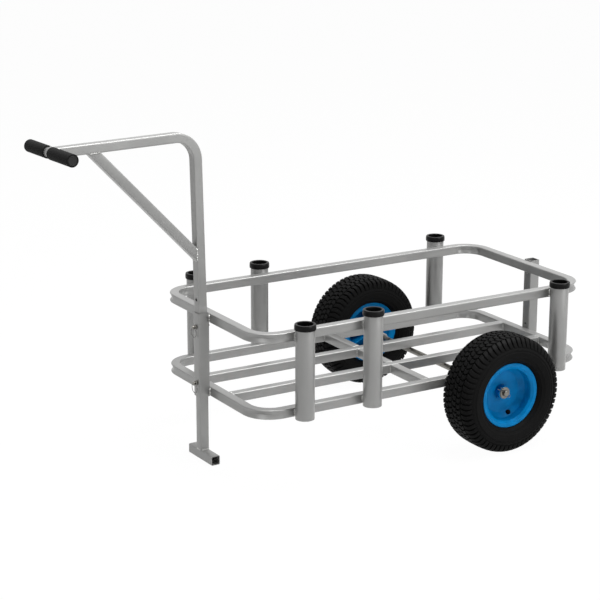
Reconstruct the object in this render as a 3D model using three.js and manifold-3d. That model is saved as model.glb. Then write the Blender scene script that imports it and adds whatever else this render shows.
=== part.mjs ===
// Fishing trolley: an open basket of square aluminium tube on two pneumatic wheels, with a pinned pull
// handle, a pinned stand and three rod holders along each side. Lengths are in millimetres, +Z is up and
// the ground is at zero height. The handle end faces -X. Left and right are as seen by the person who
// pulls the trolley, so left is -Y.

import * as THREE from "three";
import { mergeVertices } from "three/addons/utils/BufferGeometryUtils.js";
import Module from "manifold-3d";

const wasm = await Module();
wasm.setup();

// Gaps between pieces
const seam = 0.3; // between welded or seated pieces
const play = 0.3; // around pieces that turn or slide

// Square tube stock
const tube = 25.4;
const tubeWall = 1.6;
const socketTube = 31.75;
const socketWall = 1.6;
const edgeShare = 1.5; // outer edge radius as a share of the wall

// Basket
const basketLength = 1071.7;
const basketWidth = 548.8;
const bendRadius = 80; // outer radius of the rails' corners
const railSpacing = 179.7; // clear height between the two rails
const ventDiameter = 5; // weld vent on the underside of each closed rail
const slatShare = 0.1567; // each slat's distance from the middle, of the basket width
const crossMemberShare = 0.501; // of the basket length, from the handle end
const axleShare = 0.6726;
const holderShares = [0.1166, 0.3107, 0.8864];

// Sockets for the handle, the stand and what is carried at the rear
const socketRise = 2; // above the upper rail
const pinDiameter = 6.35;
const handlePinDrop = 11.4; // below the upper rail
const standPinRise = 12.9; // above the lower rail

// Rod holders
const holderDiameter = 50.8;
const holderWall = 1.6;
const holderRise = 22; // above the upper rail
const holderFloor = 3;
const holderDrainDiameter = 14;
const holderExtra = { left: [0, 8.5, -2], right: [-3, 0, 2.5] }; // each tube's own extra height
const capDiameter = 57.4;
const capSkirt = 11.7; // length outside the tube
const capSleeve = 16; // length inside the tube
const capTop = 3;
const capSleeveWall = 2.2;
const capBevel = 1.6;

// Handle
const handleEngaged = 60; // length held in the front socket
const handleRise = 477; // from the socket's top to the stem's middle line
const handleBend = 65.4; // middle line radius
const stemLength = 411.4; // from the post's axis to the crossbar's axis
const stemAngle = THREE.MathUtils.degToRad(89); // turned from the post to the stem
const leanShare = 0.45; // of the play in the socket
const handleYawShare = 0.45;
const adjustHoleRise = 75; // second pin hole above the pin
const braceReach = 296.6; // from the post's axis to the brace's foot on the stem
const braceDrop = 314.3; // below the stem's middle line, at the post's face
const crossbarDiameter = 25.4;
const crossbarWall = 1.6;
const gripDiameter = 33;
const gripBevel = 1.8;
const gripLengths = { left: 109.4, right: 101.7 };
const gripStarts = { left: 8.2, right: 14.2 }; // from the stem's middle
const plugHead = 2;
const plugDepth = 14;

// Stand
const standEngaged = 108; // length held in the front socket
const standYawShare = 0.18;
const footLength = 124.4;
const footShiftShare = 0.06; // of the foot's length, towards the left

// Pull pins and their rings
const pinShoulderDiameter = 13;
const pinShoulder = 2.5;
const pinButtonDiameter = 9.5;
const pinButton = 8.4;
const pinTail = 8; // past the socket's far side
const pinTipBevel = 1;
const ringDiameter = 30;
const ringWire = 2.2;
const ringHoleDiameter = 4.4;

// Wheels
const tyreDiameter = 327.2;
const tyreWidth = 122;
const tyreWall = 7;
const treadDepth = 10;
const rimWidth = 88.2; // over the flanges
const rimDiameter = 181.8; // over the flanges
const beadDiameter = 152.4;
const rimWall = 2.6;
const discDiameter = 118;
const slopeAngle = THREE.MathUtils.degToRad(43.4);
const ribCount = 6;
const ribThickness = 4;
const hubDiameter = 38;
const hubWall = 2.5;
const hubLength = 82;
const hubProud = 18.2; // of the hub's outer end past the disc
const bearingLength = 12;
const washerDiameter = 31;
const washerThickness = 2;
const valveHoleDiameter = 14;
const valveStemDiameter = 9;
const valveStemLength = 7;
const valveBaseDiameter = 19;
const valveBase = 2;
const valveAngles = { left: 110, right: 300 }; // degrees round the wheel

// Axle
const axleDiameter = 15.9;
const axleEnd = 8; // past the outer washer
const axleBevel = 1;
const sleeveDiameter = 26.7;
const sleeveLength = 50;
const sleeveOverhang = 6; // past the rail's outer face
const cotterWire = 3.4;
const cotterThickness = 3;
const cotterInset = 5; // from the axle's end
const cotterEyeDiameter = 10;
const cotterLegs = [25, 20];
const cotterSpread = THREE.MathUtils.degToRad(9);
const cotterAngles = { left: 140.5, right: 35 }; // degrees, of the legs above +X

// Facets
const roundSides = 12;
const holderSides = 20;
const wheelSides = 36;
const railBendSteps = 4; // per eighth turn
const handleBendSteps = 9;
const wireSides = 6;
const ringSteps = 18;
const eyeSteps = 6;
const overrun = 4; // of a cutter past what it cuts

// Worked out from the sizes above
const sides = [
  { name: "left", sign: -1 },
  { name: "right", sign: 1 },
];
const holderNames = ["front", "middle", "rear"];
const railInner = basketWidth / 2 - tube;
const axleHeight = tyreDiameter / 2;
const lowerRailBottom = axleHeight + sleeveDiameter / 2 + seam;
const lowerRailTop = lowerRailBottom + tube;
const upperRailBottom = lowerRailTop + railSpacing;
const upperRailTop = upperRailBottom + tube;
const slatOffset = slatShare * basketWidth;
const axleX = axleShare * basketLength;
const socketBottom = lowerRailBottom;
const socketTop = upperRailTop + socketRise;
const socketX = -seam - socketTube / 2;
const socketSlack = socketTube / 2 - socketWall - tube / 2;
const handlePinHeight = upperRailBottom - handlePinDrop;
const standPinHeight = lowerRailTop + standPinRise;
const handleLean = Math.asin((leanShare * 2 * socketSlack) / handleEngaged);
const handleYaw = Math.asin((handleYawShare * socketSlack) / (tube / 2));
const standYaw = Math.asin((standYawShare * socketSlack) / (tube / 2));
const pinHole = pinDiameter + 2 * play;
const loosePinHole = pinHole + tube * (Math.sin(handleYaw) + Math.sin(handleLean));
const washerBore = axleDiameter + 2 * play;
const hubInnerEnd = basketWidth / 2 + sleeveOverhang + play + washerThickness + play;
const discPlane = hubInnerEnd + hubLength - hubProud; // outer face of the disc, from the middle
const axleHalf = hubInnerEnd + hubLength + play + washerThickness + axleEnd;

// Finishes
const finishes = {
  aluminium: { color: 0xa8a8a8, roughness: 0.38, metalness: 0.9 },
  steel: { color: 0xb4b2ac, roughness: 0.3, metalness: 1 },
  capPlastic: { color: 0x161616, roughness: 0.45, metalness: 0 },
  foam: { color: 0x141414, roughness: 0.9, metalness: 0 },
  plug: { color: 0x343434, roughness: 0.6, metalness: 0 },
  rubber: { color: 0x1a1a1a, roughness: 0.75, metalness: 0 },
  rim: { color: 0x0068b5, roughness: 0.4, metalness: 0 },
};

function makeMesh(name, geometry, finish) {
  const mesh = new THREE.Mesh(geometry, new THREE.MeshStandardMaterial(finishes[finish]));
  mesh.name = name;
  return mesh;
}

function solidOf(geometry) {
  const bare = geometry.clone().deleteAttribute("normal").deleteAttribute("uv");
  const merged = mergeVertices(bare);
  const vertProperties = new Float32Array(merged.attributes.position.array);
  const triVerts = new Uint32Array(merged.index.array);
  return new wasm.Manifold(new wasm.Mesh({ numProp: 3, vertProperties, triVerts }));
}

function geometryOf(solid) {
  const mesh = solid.getMesh();
  const geometry = new THREE.BufferGeometry();
  geometry.setAttribute("position", new THREE.BufferAttribute(mesh.vertProperties, 3));
  geometry.setIndex(new THREE.BufferAttribute(mesh.triVerts, 1));
  geometry.computeVertexNormals();
  return geometry;
}

function cut(geometry, cutters) {
  const solid = cutters.reduce((rest, cutter) => rest.subtract(solidOf(cutter)), solidOf(geometry));
  return geometryOf(solid);
}

function join(geometry, additions) {
  const solid = additions.reduce((whole, piece) => whole.add(solidOf(piece)), solidOf(geometry));
  return geometryOf(solid);
}

// A body turned about Y. The outline holds [radius, height] pairs and is closed here.
function turned(outline, segments) {
  const points = outline.map(([radius, height]) => new THREE.Vector2(radius, height));
  if (THREE.ShapeUtils.area(points) < 0) points.reverse();
  const onAxis = points.some((point) => point.x === 0);
  while (onAxis && points[0].x !== 0) points.push(points.shift());
  if (onAxis && points[points.length - 1].x !== 0) points.push(points.shift());
  if (!onAxis) points.push(points[0].clone());
  return new THREE.LatheGeometry(points, segments);
}

function collar(outerRadius, innerRadius, low, high, segments) {
  const outline = [
    [outerRadius, low],
    [outerRadius, high],
    [innerRadius, high],
    [innerRadius, low],
  ];
  return turned(outline, segments);
}

function traceRoundedRectangle(path, length, width, radius) {
  const x = length / 2 - radius;
  const y = width / 2 - radius;
  path.absarc(x, -y, radius, -Math.PI / 2, 0);
  path.absarc(x, y, radius, 0, Math.PI / 2);
  path.absarc(-x, y, radius, Math.PI / 2, Math.PI);
  path.absarc(-x, -y, radius, Math.PI, (3 * Math.PI) / 2);
  path.closePath();
  return path;
}

function tracePolygon(path, points) {
  path.setFromPoints(points.map(([x, y]) => new THREE.Vector2(x, y)));
  path.closePath();
  return path;
}

function squareSection(size, wall) {
  const section = traceRoundedRectangle(new THREE.Shape(), size, size, edgeShare * wall);
  const half = size / 2 - wall;
  const bore = [
    [-half, -half],
    [half, -half],
    [half, half],
    [-half, half],
  ];
  section.holes.push(tracePolygon(new THREE.Path(), bore));
  return section;
}

// A straight length of square tube along Z, from low to high
function squareTube(size, wall, low, high) {
  const section = squareSection(size, wall);
  const settings = { depth: high - low, bevelEnabled: false, curveSegments: 1 };
  return new THREE.ExtrudeGeometry(section, settings).translate(0, 0, low);
}

function rodAlongX(diameter, length) {
  return new THREE.CylinderGeometry(diameter / 2, diameter / 2, length, roundSides).rotateZ(Math.PI / 2);
}

// A path with one section at each of its stations, so that a straight run needs no steps between its ends
class StationPath extends THREE.Curve {
  constructor(stations) {
    super();
    this.stations = stations;
  }

  stationAt(share) {
    return this.stations[Math.round(share * (this.stations.length - 1))];
  }

  getPointAt(share) {
    return this.stationAt(share).point.clone();
  }

  getTangentAt(share) {
    return this.stationAt(share).tangent.clone();
  }
}

// One closed rail of the basket: tube bent round four corners and joined to itself, with a weld vent
function railGeometry() {
  const edge = edgeShare * tubeWall;
  const outline = traceRoundedRectangle(new THREE.Shape(), basketLength, basketWidth, bendRadius);
  const inside = [basketLength - 2 * tube, basketWidth - 2 * tube, bendRadius - tube];
  outline.holes.push(traceRoundedRectangle(new THREE.Path(), ...inside));
  const rounding = { bevelThickness: edge, bevelSize: edge, bevelOffset: -edge, bevelSegments: 1 };
  const settings = { depth: tube - 2 * edge, curveSegments: railBendSteps, ...rounding };
  const outer = new THREE.ExtrudeGeometry(outline, settings).translate(0, 0, edge);

  const bore = traceRoundedRectangle(
    new THREE.Shape(),
    basketLength - 2 * tubeWall,
    basketWidth - 2 * tubeWall,
    bendRadius - tubeWall,
  );
  const boreInside = [
    basketLength - 2 * (tube - tubeWall),
    basketWidth - 2 * (tube - tubeWall),
    bendRadius - (tube - tubeWall),
  ];
  bore.holes.push(traceRoundedRectangle(new THREE.Path(), ...boreInside));
  const boreSettings = { depth: tube - 2 * tubeWall, bevelEnabled: false, curveSegments: railBendSteps };
  const hollow = new THREE.ExtrudeGeometry(bore, boreSettings).translate(0, 0, tubeWall);

  const ventLength = tubeWall + 2 * overrun;
  const vent = new THREE.CylinderGeometry(ventDiameter / 2, ventDiameter / 2, ventLength, roundSides);
  vent.rotateX(Math.PI / 2).translate((basketLength - tube) / 2, slatOffset * 2, tubeWall / 2);
  return cut(outer, [hollow, vent]);
}

function makeRail(name, bottom) {
  const rail = makeMesh(name, railGeometry(), "aluminium");
  rail.position.set(basketLength / 2, 0, bottom);
  return rail;
}

// A run of tube flush with the lower rail, from one point to another along X or along Y
function makeFloorTube(name, axis, start, end, across) {
  const run = makeMesh(name, squareTube(tube, tubeWall, start + seam, end - seam), "aluminium");
  const height = lowerRailBottom + tube / 2;
  if (axis === "x") {
    run.rotation.y = Math.PI / 2;
    run.position.set(0, across, height);
  } else {
    run.rotation.x = -Math.PI / 2;
    run.position.set(across, 0, height);
  }
  return run;
}

function makeFloor() {
  const floor = new THREE.Group();
  for (const side of sides) {
    const y = side.sign * slatOffset;
    floor.add(makeFloorTube(`slat_${side.name}`, "x", tube, basketLength - tube, y));
  }
  const x = crossMemberShare * basketLength;
  const slatInner = slatOffset - tube / 2;
  const slatOuter = slatOffset + tube / 2;
  floor.add(makeFloorTube("cross_member_left", "y", -railInner, -slatOuter, x));
  floor.add(makeFloorTube("cross_member_middle", "y", -slatInner, slatInner, x));
  floor.add(makeFloorTube("cross_member_right", "y", slatOuter, railInner, x));
  return floor;
}

function makeSocket(name, x) {
  const length = socketTube + 2 * overrun;
  const holes = [handlePinHeight, standPinHeight].map((z) => rodAlongX(pinHole, length).translate(0, 0, z));
  const socket = squareTube(socketTube, socketWall, socketBottom, socketTop);
  const mesh = makeMesh(name, cut(socket, holes), "aluminium");
  mesh.position.x = x;
  return mesh;
}

// A rod holder is a round tube with a welded floor that the rod's butt stands on and rain drains through.
function makeHolder(name, x, y, top) {
  const outer = holderDiameter / 2;
  const bore = outer - holderWall;
  const drain = holderDrainDiameter / 2;
  const outline = [
    [outer, lowerRailBottom],
    [outer, top],
    [bore, top],
    [bore, lowerRailBottom + holderFloor],
    [drain, lowerRailBottom + holderFloor],
    [drain, lowerRailBottom],
  ];
  const holder = makeMesh(name, turned(outline, holderSides), "aluminium");
  holder.rotation.x = Math.PI / 2;
  holder.position.set(x, y, 0);
  return holder;
}

// The cap is a ring that folds over the tube's end, with a skirt outside and a sleeve inside.
function makeHolderCap(name, x, y, tubeTop) {
  const tubeOuter = holderDiameter / 2 + seam;
  const tubeInner = holderDiameter / 2 - holderWall - seam;
  const outer = capDiameter / 2;
  const mouth = tubeInner - capSleeveWall;
  const top = tubeTop + seam + capTop;
  const outline = [
    [outer, tubeTop - capSkirt],
    [outer, top - capBevel],
    [outer - capBevel, top],
    [mouth + capBevel, top],
    [mouth, top - capBevel],
    [mouth, tubeTop - capSleeve],
    [tubeInner, tubeTop - capSleeve],
    [tubeInner, tubeTop + seam],
    [tubeOuter, tubeTop + seam],
    [tubeOuter, tubeTop - capSkirt],
  ];
  const cap = makeMesh(name, turned(outline, holderSides), "capPlastic");
  cap.rotation.x = Math.PI / 2;
  cap.position.set(x, y, 0);
  return cap;
}

function makeHolders() {
  const holders = new THREE.Group();
  for (const side of sides) {
    const y = side.sign * (basketWidth / 2 + seam + holderDiameter / 2);
    for (const [index, share] of holderShares.entries()) {
      const x = share * basketLength;
      const top = upperRailTop + holderRise + holderExtra[side.name][index];
      const place = `${side.name}_${holderNames[index]}`;
      holders.add(makeHolder(`rod_holder_${place}`, x, y, top));
      holders.add(makeHolderCap(`rod_holder_cap_${place}`, x, y, top));
    }
  }
  return holders;
}

// The handle's own frame has the post along Z, the stem towards -X and the middle of the engaged length
// at its origin.
const engagedMiddle = handleEngaged / 2;
const cornerHeight = engagedMiddle + handleRise;
const stemDirection = new THREE.Vector3(-Math.sin(stemAngle), 0, Math.cos(stemAngle));

function alongStem(distance) {
  return new THREE.Vector3(0, 0, cornerHeight).addScaledVector(stemDirection, distance);
}

// A box of the stem's size, grown by a gap, for shaping what meets the stem
function stemEnvelope(gap, height) {
  const size = [stemLength, tube + 2 * gap, height];
  const box = new THREE.BoxGeometry(...size).translate(-stemLength / 2, 0, 0);
  const place = alongStem(0);
  return box.rotateY(Math.PI / 2 - stemAngle).translate(place.x, place.y, place.z);
}

function makeHandleTube() {
  const straight = new THREE.Vector3(0, 0, 1);
  const setback = handleBend * Math.tan(stemAngle / 2);
  const bendStart = cornerHeight - setback;
  const stations = [{ point: new THREE.Vector3(0, 0, -engagedMiddle), tangent: straight }];
  for (let step = 0; step <= handleBendSteps; step += 1) {
    const turn = (stemAngle * step) / handleBendSteps;
    const reach = handleBend * (Math.cos(turn) - 1);
    const point = new THREE.Vector3(reach, 0, bendStart + handleBend * Math.sin(turn));
    stations.push({ point, tangent: new THREE.Vector3(-Math.sin(turn), 0, Math.cos(turn)) });
  }
  stations.push({ point: alongStem(stemLength), tangent: stemDirection });
  const extrudePath = new StationPath(stations);
  const settings = { extrudePath, steps: stations.length - 1, curveSegments: 1 };
  const bent = new THREE.ExtrudeGeometry(squareSection(tube, tubeWall), settings);

  const pinHeight = handlePinHeight - (socketTop - engagedMiddle);
  const holes = [pinHeight, pinHeight + adjustHoleRise].map((height) => {
    return rodAlongX(loosePinHole, tube + 2 * overrun).translate(0, 0, height);
  });
  const end = alongStem(stemLength);
  const copeRadius = crossbarDiameter / 2 + seam;
  const cope = new THREE.CylinderGeometry(copeRadius, copeRadius, tube + 2 * overrun, roundSides);
  cope.translate(end.x, end.y, end.z);
  return makeMesh("handle_tube", cut(bent, [...holes, cope]), "aluminium");
}

function makeBrace() {
  const foot = new THREE.Vector3(-tube / 2, 0, cornerHeight - braceDrop);
  const head = alongStem(braceReach);
  head.z -= tube / 2;
  const run = head.clone().sub(foot);
  const spare = 2 * tube;
  const long = squareTube(tube, tubeWall, -spare, run.length() + spare);
  long.rotateY(Math.atan2(run.x, run.z)).translate(foot.x, foot.y, foot.z);
  const postSize = [tube + 2 * seam + 2 * spare, 2 * tube, 2 * cornerHeight];
  const post = new THREE.BoxGeometry(...postSize).translate(spare, 0, 0);
  const stem = stemEnvelope(tube, tube + 2 * seam + 2 * spare);
  const lift = spare * Math.cos(stemAngle - Math.PI / 2);
  stem.translate(0, 0, lift);
  return makeMesh("handle_brace", cut(long, [post, stem]), "aluminium");
}

function makeCrossbar() {
  const crossbar = new THREE.Group();
  const bar = crossbarDiameter / 2;
  const ends = {};
  for (const side of sides) {
    ends[side.name] = side.sign * (gripStarts[side.name] + gripLengths[side.name] - plugHead - seam);
  }
  const barTube = collar(bar, bar - crossbarWall, ends.left, ends.right, roundSides);
  crossbar.add(makeMesh("handle_crossbar", barTube, "aluminium"));

  const stem = stemEnvelope(seam, tube + 2 * seam);
  const end = alongStem(stemLength);
  stem.translate(-end.x, -end.y, -end.z);
  for (const side of sides) {
    const outer = gripDiameter / 2;
    const length = gripLengths[side.name];
    const outline = [
      [bar + seam, 0],
      [outer - gripBevel, 0],
      [outer, gripBevel],
      [outer, length - gripBevel],
      [outer - gripBevel, length],
      [bar + seam, length],
    ];
    const foam = turned(outline, roundSides);
    if (side.sign < 0) foam.rotateZ(Math.PI);
    foam.translate(0, side.sign * gripStarts[side.name], 0);
    crossbar.add(makeMesh(`grip_${side.name}`, cut(foam, [stem]), "foam"));

    const plugBody = bar - crossbarWall - seam;
    const plugOutline = [
      [0, -plugDepth],
      [plugBody, -plugDepth],
      [plugBody, 0],
      [bar, 0],
      [bar, plugHead],
      [0, plugHead],
    ];
    const plug = makeMesh(`grip_plug_${side.name}`, turned(plugOutline, roundSides), "plug");
    if (side.sign < 0) plug.rotation.z = Math.PI;
    plug.position.y = ends[side.name] + side.sign * seam;
    crossbar.add(plug);
  }
  crossbar.position.copy(end);
  return crossbar;
}

function makeHandle() {
  const handle = new THREE.Group();
  handle.add(makeHandleTube(), makeBrace(), makeCrossbar());
  handle.position.set(socketX, 0, socketTop - engagedMiddle);
  handle.rotation.set(0, -handleLean, handleYaw, "ZYX");
  return handle;
}

function makeStand() {
  const stand = new THREE.Group();
  const hole = rodAlongX(loosePinHole, tube + 2 * overrun).translate(0, 0, standPinHeight);
  const leg = squareTube(tube, tubeWall, tube + seam, socketBottom + standEngaged);
  stand.add(makeMesh("stand_leg", cut(leg, [hole]), "aluminium"));
  const footTube = squareTube(tube, tubeWall, -footLength / 2, footLength / 2);
  const foot = makeMesh("stand_foot", footTube, "aluminium");
  foot.rotation.x = -Math.PI / 2;
  foot.position.set(0, -footShiftShare * footLength, tube / 2);
  stand.add(foot);
  stand.position.x = socketX;
  stand.rotation.z = standYaw;
  return stand;
}

// A pull pin lies along X with its shoulder against the socket's outer face. Its split ring hangs from a
// cross hole in the button.
function makePullPin(name, height) {
  const assembly = new THREE.Group();
  const shank = pinDiameter / 2;
  const button = play + pinShoulder;
  const outline = [
    [0, -button - pinButton],
    [pinButtonDiameter / 2 - pinTipBevel, -button - pinButton],
    [pinButtonDiameter / 2, -button - pinButton + pinTipBevel],
    [pinButtonDiameter / 2, -button],
    [pinShoulderDiameter / 2, -button],
    [pinShoulderDiameter / 2, -play],
    [shank, -play],
    [shank, socketTube + pinTail - pinTipBevel],
    [shank - pinTipBevel, socketTube + pinTail],
    [0, socketTube + pinTail],
  ];
  const body = turned(outline, roundSides).rotateZ(-Math.PI / 2);
  const holeX = -button - pinButton / 2;
  const holeRadius = ringHoleDiameter / 2;
  const holeLength = pinButtonDiameter + 2 * overrun;
  const crossHole = new THREE.CylinderGeometry(holeRadius, holeRadius, holeLength, roundSides);
  assembly.add(makeMesh(name, cut(body, [crossHole.translate(holeX, 0, 0)]), "steel"));

  const middleRadius = (ringDiameter - ringWire) / 2;
  const curve = middleRadius - Math.sqrt(middleRadius ** 2 - (pinButtonDiameter / 2) ** 2);
  const loop = new THREE.TorusGeometry(middleRadius, ringWire / 2, wireSides, ringSteps);
  const ring = makeMesh(`${name}_ring`, loop, "steel");
  ring.rotation.y = Math.PI / 2;
  ring.position.set(holeX, 0, curve / 2 - middleRadius);
  assembly.add(ring);
  assembly.position.set(socketX - socketTube / 2, 0, height);
  return assembly;
}

// The wheel's own frame has its axis along Y, outwards positive, with the disc's outer face at zero.
const rimHalf = rimWidth / 2;
const rimRadius = rimDiameter / 2;
const bead = beadDiameter / 2;
const discRadius = discDiameter / 2;
const well = discRadius + rimWall * Math.sin(slopeAngle);
const flangeDepth = (rimRadius - bead) / 2;

// Height of the disc's sloped edge above its face at a given radius, on either side of the wall
function slopeFace(radius) {
  return (radius - discRadius) * Math.tan(slopeAngle);
}

function slopeBack(radius) {
  return slopeFace(radius) - rimWall / Math.cos(slopeAngle);
}

function rimGeometry(valveAngle) {
  const hubHole = hubDiameter / 2 + seam;
  const shell = bead - rimWall;
  const lip = rimWall / 2;
  const outline = [
    [hubHole, 0],
    [discRadius, 0],
    [shell, slopeFace(shell)],
    [shell, rimHalf - flangeDepth],
    [shell + flangeDepth, rimHalf - lip],
    [rimRadius - lip, rimHalf],
    [rimRadius, rimHalf - lip],
    [rimRadius - lip, rimHalf - rimWall],
    [bead, rimHalf - flangeDepth],
    [bead, slopeBack(bead)],
    [well, slopeBack(well)],
    [well, -slopeFace(shell)],
    [bead, -slopeFace(shell) - (bead - well)],
    [bead, -rimHalf + flangeDepth],
    [rimRadius - lip, -rimHalf + rimWall],
    [rimRadius, -rimHalf + lip],
    [rimRadius - lip, -rimHalf],
    [shell, -rimHalf + flangeDepth],
    [shell, -slopeFace(shell) - (bead - well) - lip],
    [well - rimWall, -slopeFace(shell) - lip],
    [well - rimWall, -rimWall],
    [hubHole, -rimWall],
  ];
  const ribs = [];
  for (let index = 0; index < ribCount; index += 1) {
    const section = new THREE.Shape();
    const ribOutline = [
      [hubHole, -rimWall / 2],
      [hubHole, -rimHalf],
      [hubHole + rimWall, -rimHalf],
      [shell + lip / 2, -rimHalf + flangeDepth],
      [shell + lip / 2, -slopeFace(shell) - (bead - well) - lip],
      [well - rimWall / 2, -slopeFace(shell) - lip],
      [well - rimWall / 2, -rimWall / 2],
    ];
    tracePolygon(section, ribOutline);
    const rib = new THREE.ExtrudeGeometry(section, { depth: ribThickness, bevelEnabled: false });
    rib.translate(0, 0, -ribThickness / 2).rotateY((2 * Math.PI * (index + 1 / 2)) / ribCount);
    ribs.push(rib);
  }
  const valveHole = new THREE.CylinderGeometry(
    valveHoleDiameter / 2,
    valveHoleDiameter / 2,
    2 * (rimWall + overrun),
    roundSides,
  );
  const whole = join(turned(outline, wheelSides), ribs);
  return cut(whole, [placeValve(valveHole, valveAngle)]);
}

// Moves a shape along Y onto the middle of the disc's sloped edge, square to it, at an angle round the wheel
function placeValve(geometry, valveAngle) {
  const middle = (discRadius + bead - rimWall) / 2;
  geometry.rotateZ(slopeAngle).translate(middle, slopeFace(middle), 0);
  return geometry.rotateY(THREE.MathUtils.degToRad(valveAngle));
}

// A snap-in rubber valve: a base behind the rim's wall, a neck in the hole and a short stem
function valveGeometry(valveAngle) {
  const neck = valveHoleDiameter / 2 - seam;
  const stem = valveStemDiameter / 2;
  const back = -rimWall - seam;
  const outline = [
    [0, back - valveBase],
    [valveBaseDiameter / 2, back - valveBase],
    [valveBaseDiameter / 2, back],
    [neck, back],
    [neck, 0],
    [stem, neck - stem],
    [stem, valveStemLength],
    [0, valveStemLength],
  ];
  return placeValve(turned(outline, roundSides), valveAngle);
}

// The tyre's section is shared out between the bead and the crown, and is as wide as the belly.
const outerShares = [
  [0.28, 0.9],
  [0.5, 1],
  [0.75, 0.95],
  [0.91, 0.83],
  [0.98, 0.62],
  [1, 0.25],
];
const innerShares = [
  [0.28, 0.9],
  [0.65, 1],
  [1, 0.6],
];

function tyreGeometry() {
  const seat = bead + seam;
  const flange = rimHalf - rimWall - seam;
  const beadPoints = [
    [seat, flange - flangeDepth - tyreWall],
    [seat, flange - flangeDepth],
    [rimRadius, flange - rimWall / 2],
    [rimRadius + 2 * seam, rimHalf],
  ];
  const crown = tyreDiameter / 2;
  const belly = tyreWidth / 2;
  const height = crown - seat;
  const outer = outerShares.map(([rise, breadth]) => [seat + rise * height, breadth * belly]);
  const innerHeight = height - treadDepth;
  const innerBelly = belly - tyreWall;
  const inner = innerShares.map(([rise, breadth]) => [seat + rise * innerHeight, breadth * innerBelly]);
  const heel = [seat + flangeDepth, flange - rimWall - tyreWall];
  const half = [...beadPoints, ...outer];
  const innerHalf = [heel, ...inner];
  const mirror = ([radius, offset]) => [radius, -offset];
  const outline = [
    ...half,
    ...half.map(mirror).reverse(),
    ...innerHalf.map(mirror),
    ...innerHalf.slice().reverse(),
  ];
  return turned(outline, wheelSides);
}

function makeWheel(side) {
  const wheel = new THREE.Group();
  const hubOuter = hubDiameter / 2;
  const hubBore = hubOuter - hubWall;
  const hubLow = hubProud - hubLength;
  const shaft = axleDiameter / 2 + play;
  const bearing = hubBore - seam;
  const valveAngle = valveAngles[side.name];
  const add = (name, geometry, finish) => wheel.add(makeMesh(`${name}_${side.name}`, geometry, finish));
  add("tyre", tyreGeometry(), "rubber");
  add("rim", rimGeometry(valveAngle), "rim");
  add("hub", collar(hubOuter, hubBore, hubLow, hubProud, roundSides), "rim");
  add("bearing_outer", collar(bearing, shaft, hubProud - bearingLength, hubProud, roundSides), "steel");
  add("bearing_inner", collar(bearing, shaft, hubLow, hubLow + bearingLength, roundSides), "steel");
  add("valve_stem", valveGeometry(valveAngle), "rubber");
  wheel.position.set(axleX, side.sign * discPlane, axleHeight);
  if (side.sign < 0) wheel.rotation.z = Math.PI;
  return wheel;
}

// A split pin with its eye on one side of the axle and two spread legs on the other
function cotterGeometry() {
  const half = cotterWire / 2;
  const eye = cotterEyeDiameter / 2;
  const eyeX = -axleDiameter / 2 - play - eye;
  const neck = Math.asin(half / eye);
  const fork = axleDiameter / 2 + play;
  const section = new THREE.Shape();
  section.absarc(eyeX, 0, eye, neck, 2 * Math.PI - neck);
  section.lineTo(fork, -half);
  const [upperLeg, lowerLeg] = cotterLegs;
  const dx = Math.cos(cotterSpread);
  const dy = Math.sin(cotterSpread);
  section.lineTo(fork + lowerLeg * dx, -half - lowerLeg * dy);
  section.lineTo(fork + lowerLeg * dx + half * dy, -half - lowerLeg * dy + half * dx);
  section.lineTo(fork + half, 0);
  section.lineTo(fork + upperLeg * dx + half * dy, half + upperLeg * dy - half * dx);
  section.lineTo(fork + upperLeg * dx, half + upperLeg * dy);
  section.lineTo(fork, half);
  section.closePath();
  const opening = new THREE.Path();
  opening.absarc(eyeX, 0, eye - half, 0, 2 * Math.PI);
  section.holes.push(opening);
  const settings = { depth: cotterThickness, bevelEnabled: false, curveSegments: eyeSteps };
  return new THREE.ExtrudeGeometry(section, settings).translate(0, 0, -cotterThickness / 2);
}

function makeAxle() {
  const assembly = new THREE.Group();
  const radius = axleDiameter / 2;
  const cotterY = axleHalf - cotterInset;
  const outline = [
    [0, -axleHalf],
    [radius - axleBevel, -axleHalf],
    [radius, -axleHalf + axleBevel],
    [radius, axleHalf - axleBevel],
    [radius - axleBevel, axleHalf],
    [0, axleHalf],
  ];
  const holeDiameter = Math.hypot(cotterWire, cotterThickness) + 2 * seam;
  const holes = [];
  for (const side of sides) {
    const legs = THREE.MathUtils.degToRad(cotterAngles[side.name]);
    const y = side.sign * cotterY;
    holes.push(rodAlongX(holeDiameter, axleDiameter + 2 * overrun).rotateY(-legs).translate(0, y, 0));
    const cotter = makeMesh(`cotter_pin_${side.name}`, cotterGeometry().rotateX(Math.PI / 2), "steel");
    cotter.rotation.y = -legs;
    cotter.position.y = y;
    assembly.add(cotter);

    const sleeveEnd = basketWidth / 2 + sleeveOverhang;
    const sleeveSpan = [side.sign * (sleeveEnd - sleeveLength), side.sign * sleeveEnd];
    const sleeve = collar(sleeveDiameter / 2, radius + seam, ...sleeveSpan, roundSides);
    assembly.add(makeMesh(`axle_sleeve_${side.name}`, sleeve, "aluminium"));

    const washerStarts = { inner: sleeveEnd + play, outer: hubInnerEnd + hubLength + play };
    for (const [place, start] of Object.entries(washerStarts)) {
      const span = [side.sign * start, side.sign * (start + washerThickness)];
      const washer = collar(washerDiameter / 2, washerBore / 2, ...span, roundSides);
      assembly.add(makeMesh(`washer_${place}_${side.name}`, washer, "steel"));
    }
  }
  assembly.add(makeMesh("axle", cut(turned(outline, roundSides), holes), "steel"));
  assembly.position.set(axleX, 0, axleHeight);
  return assembly;
}

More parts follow.
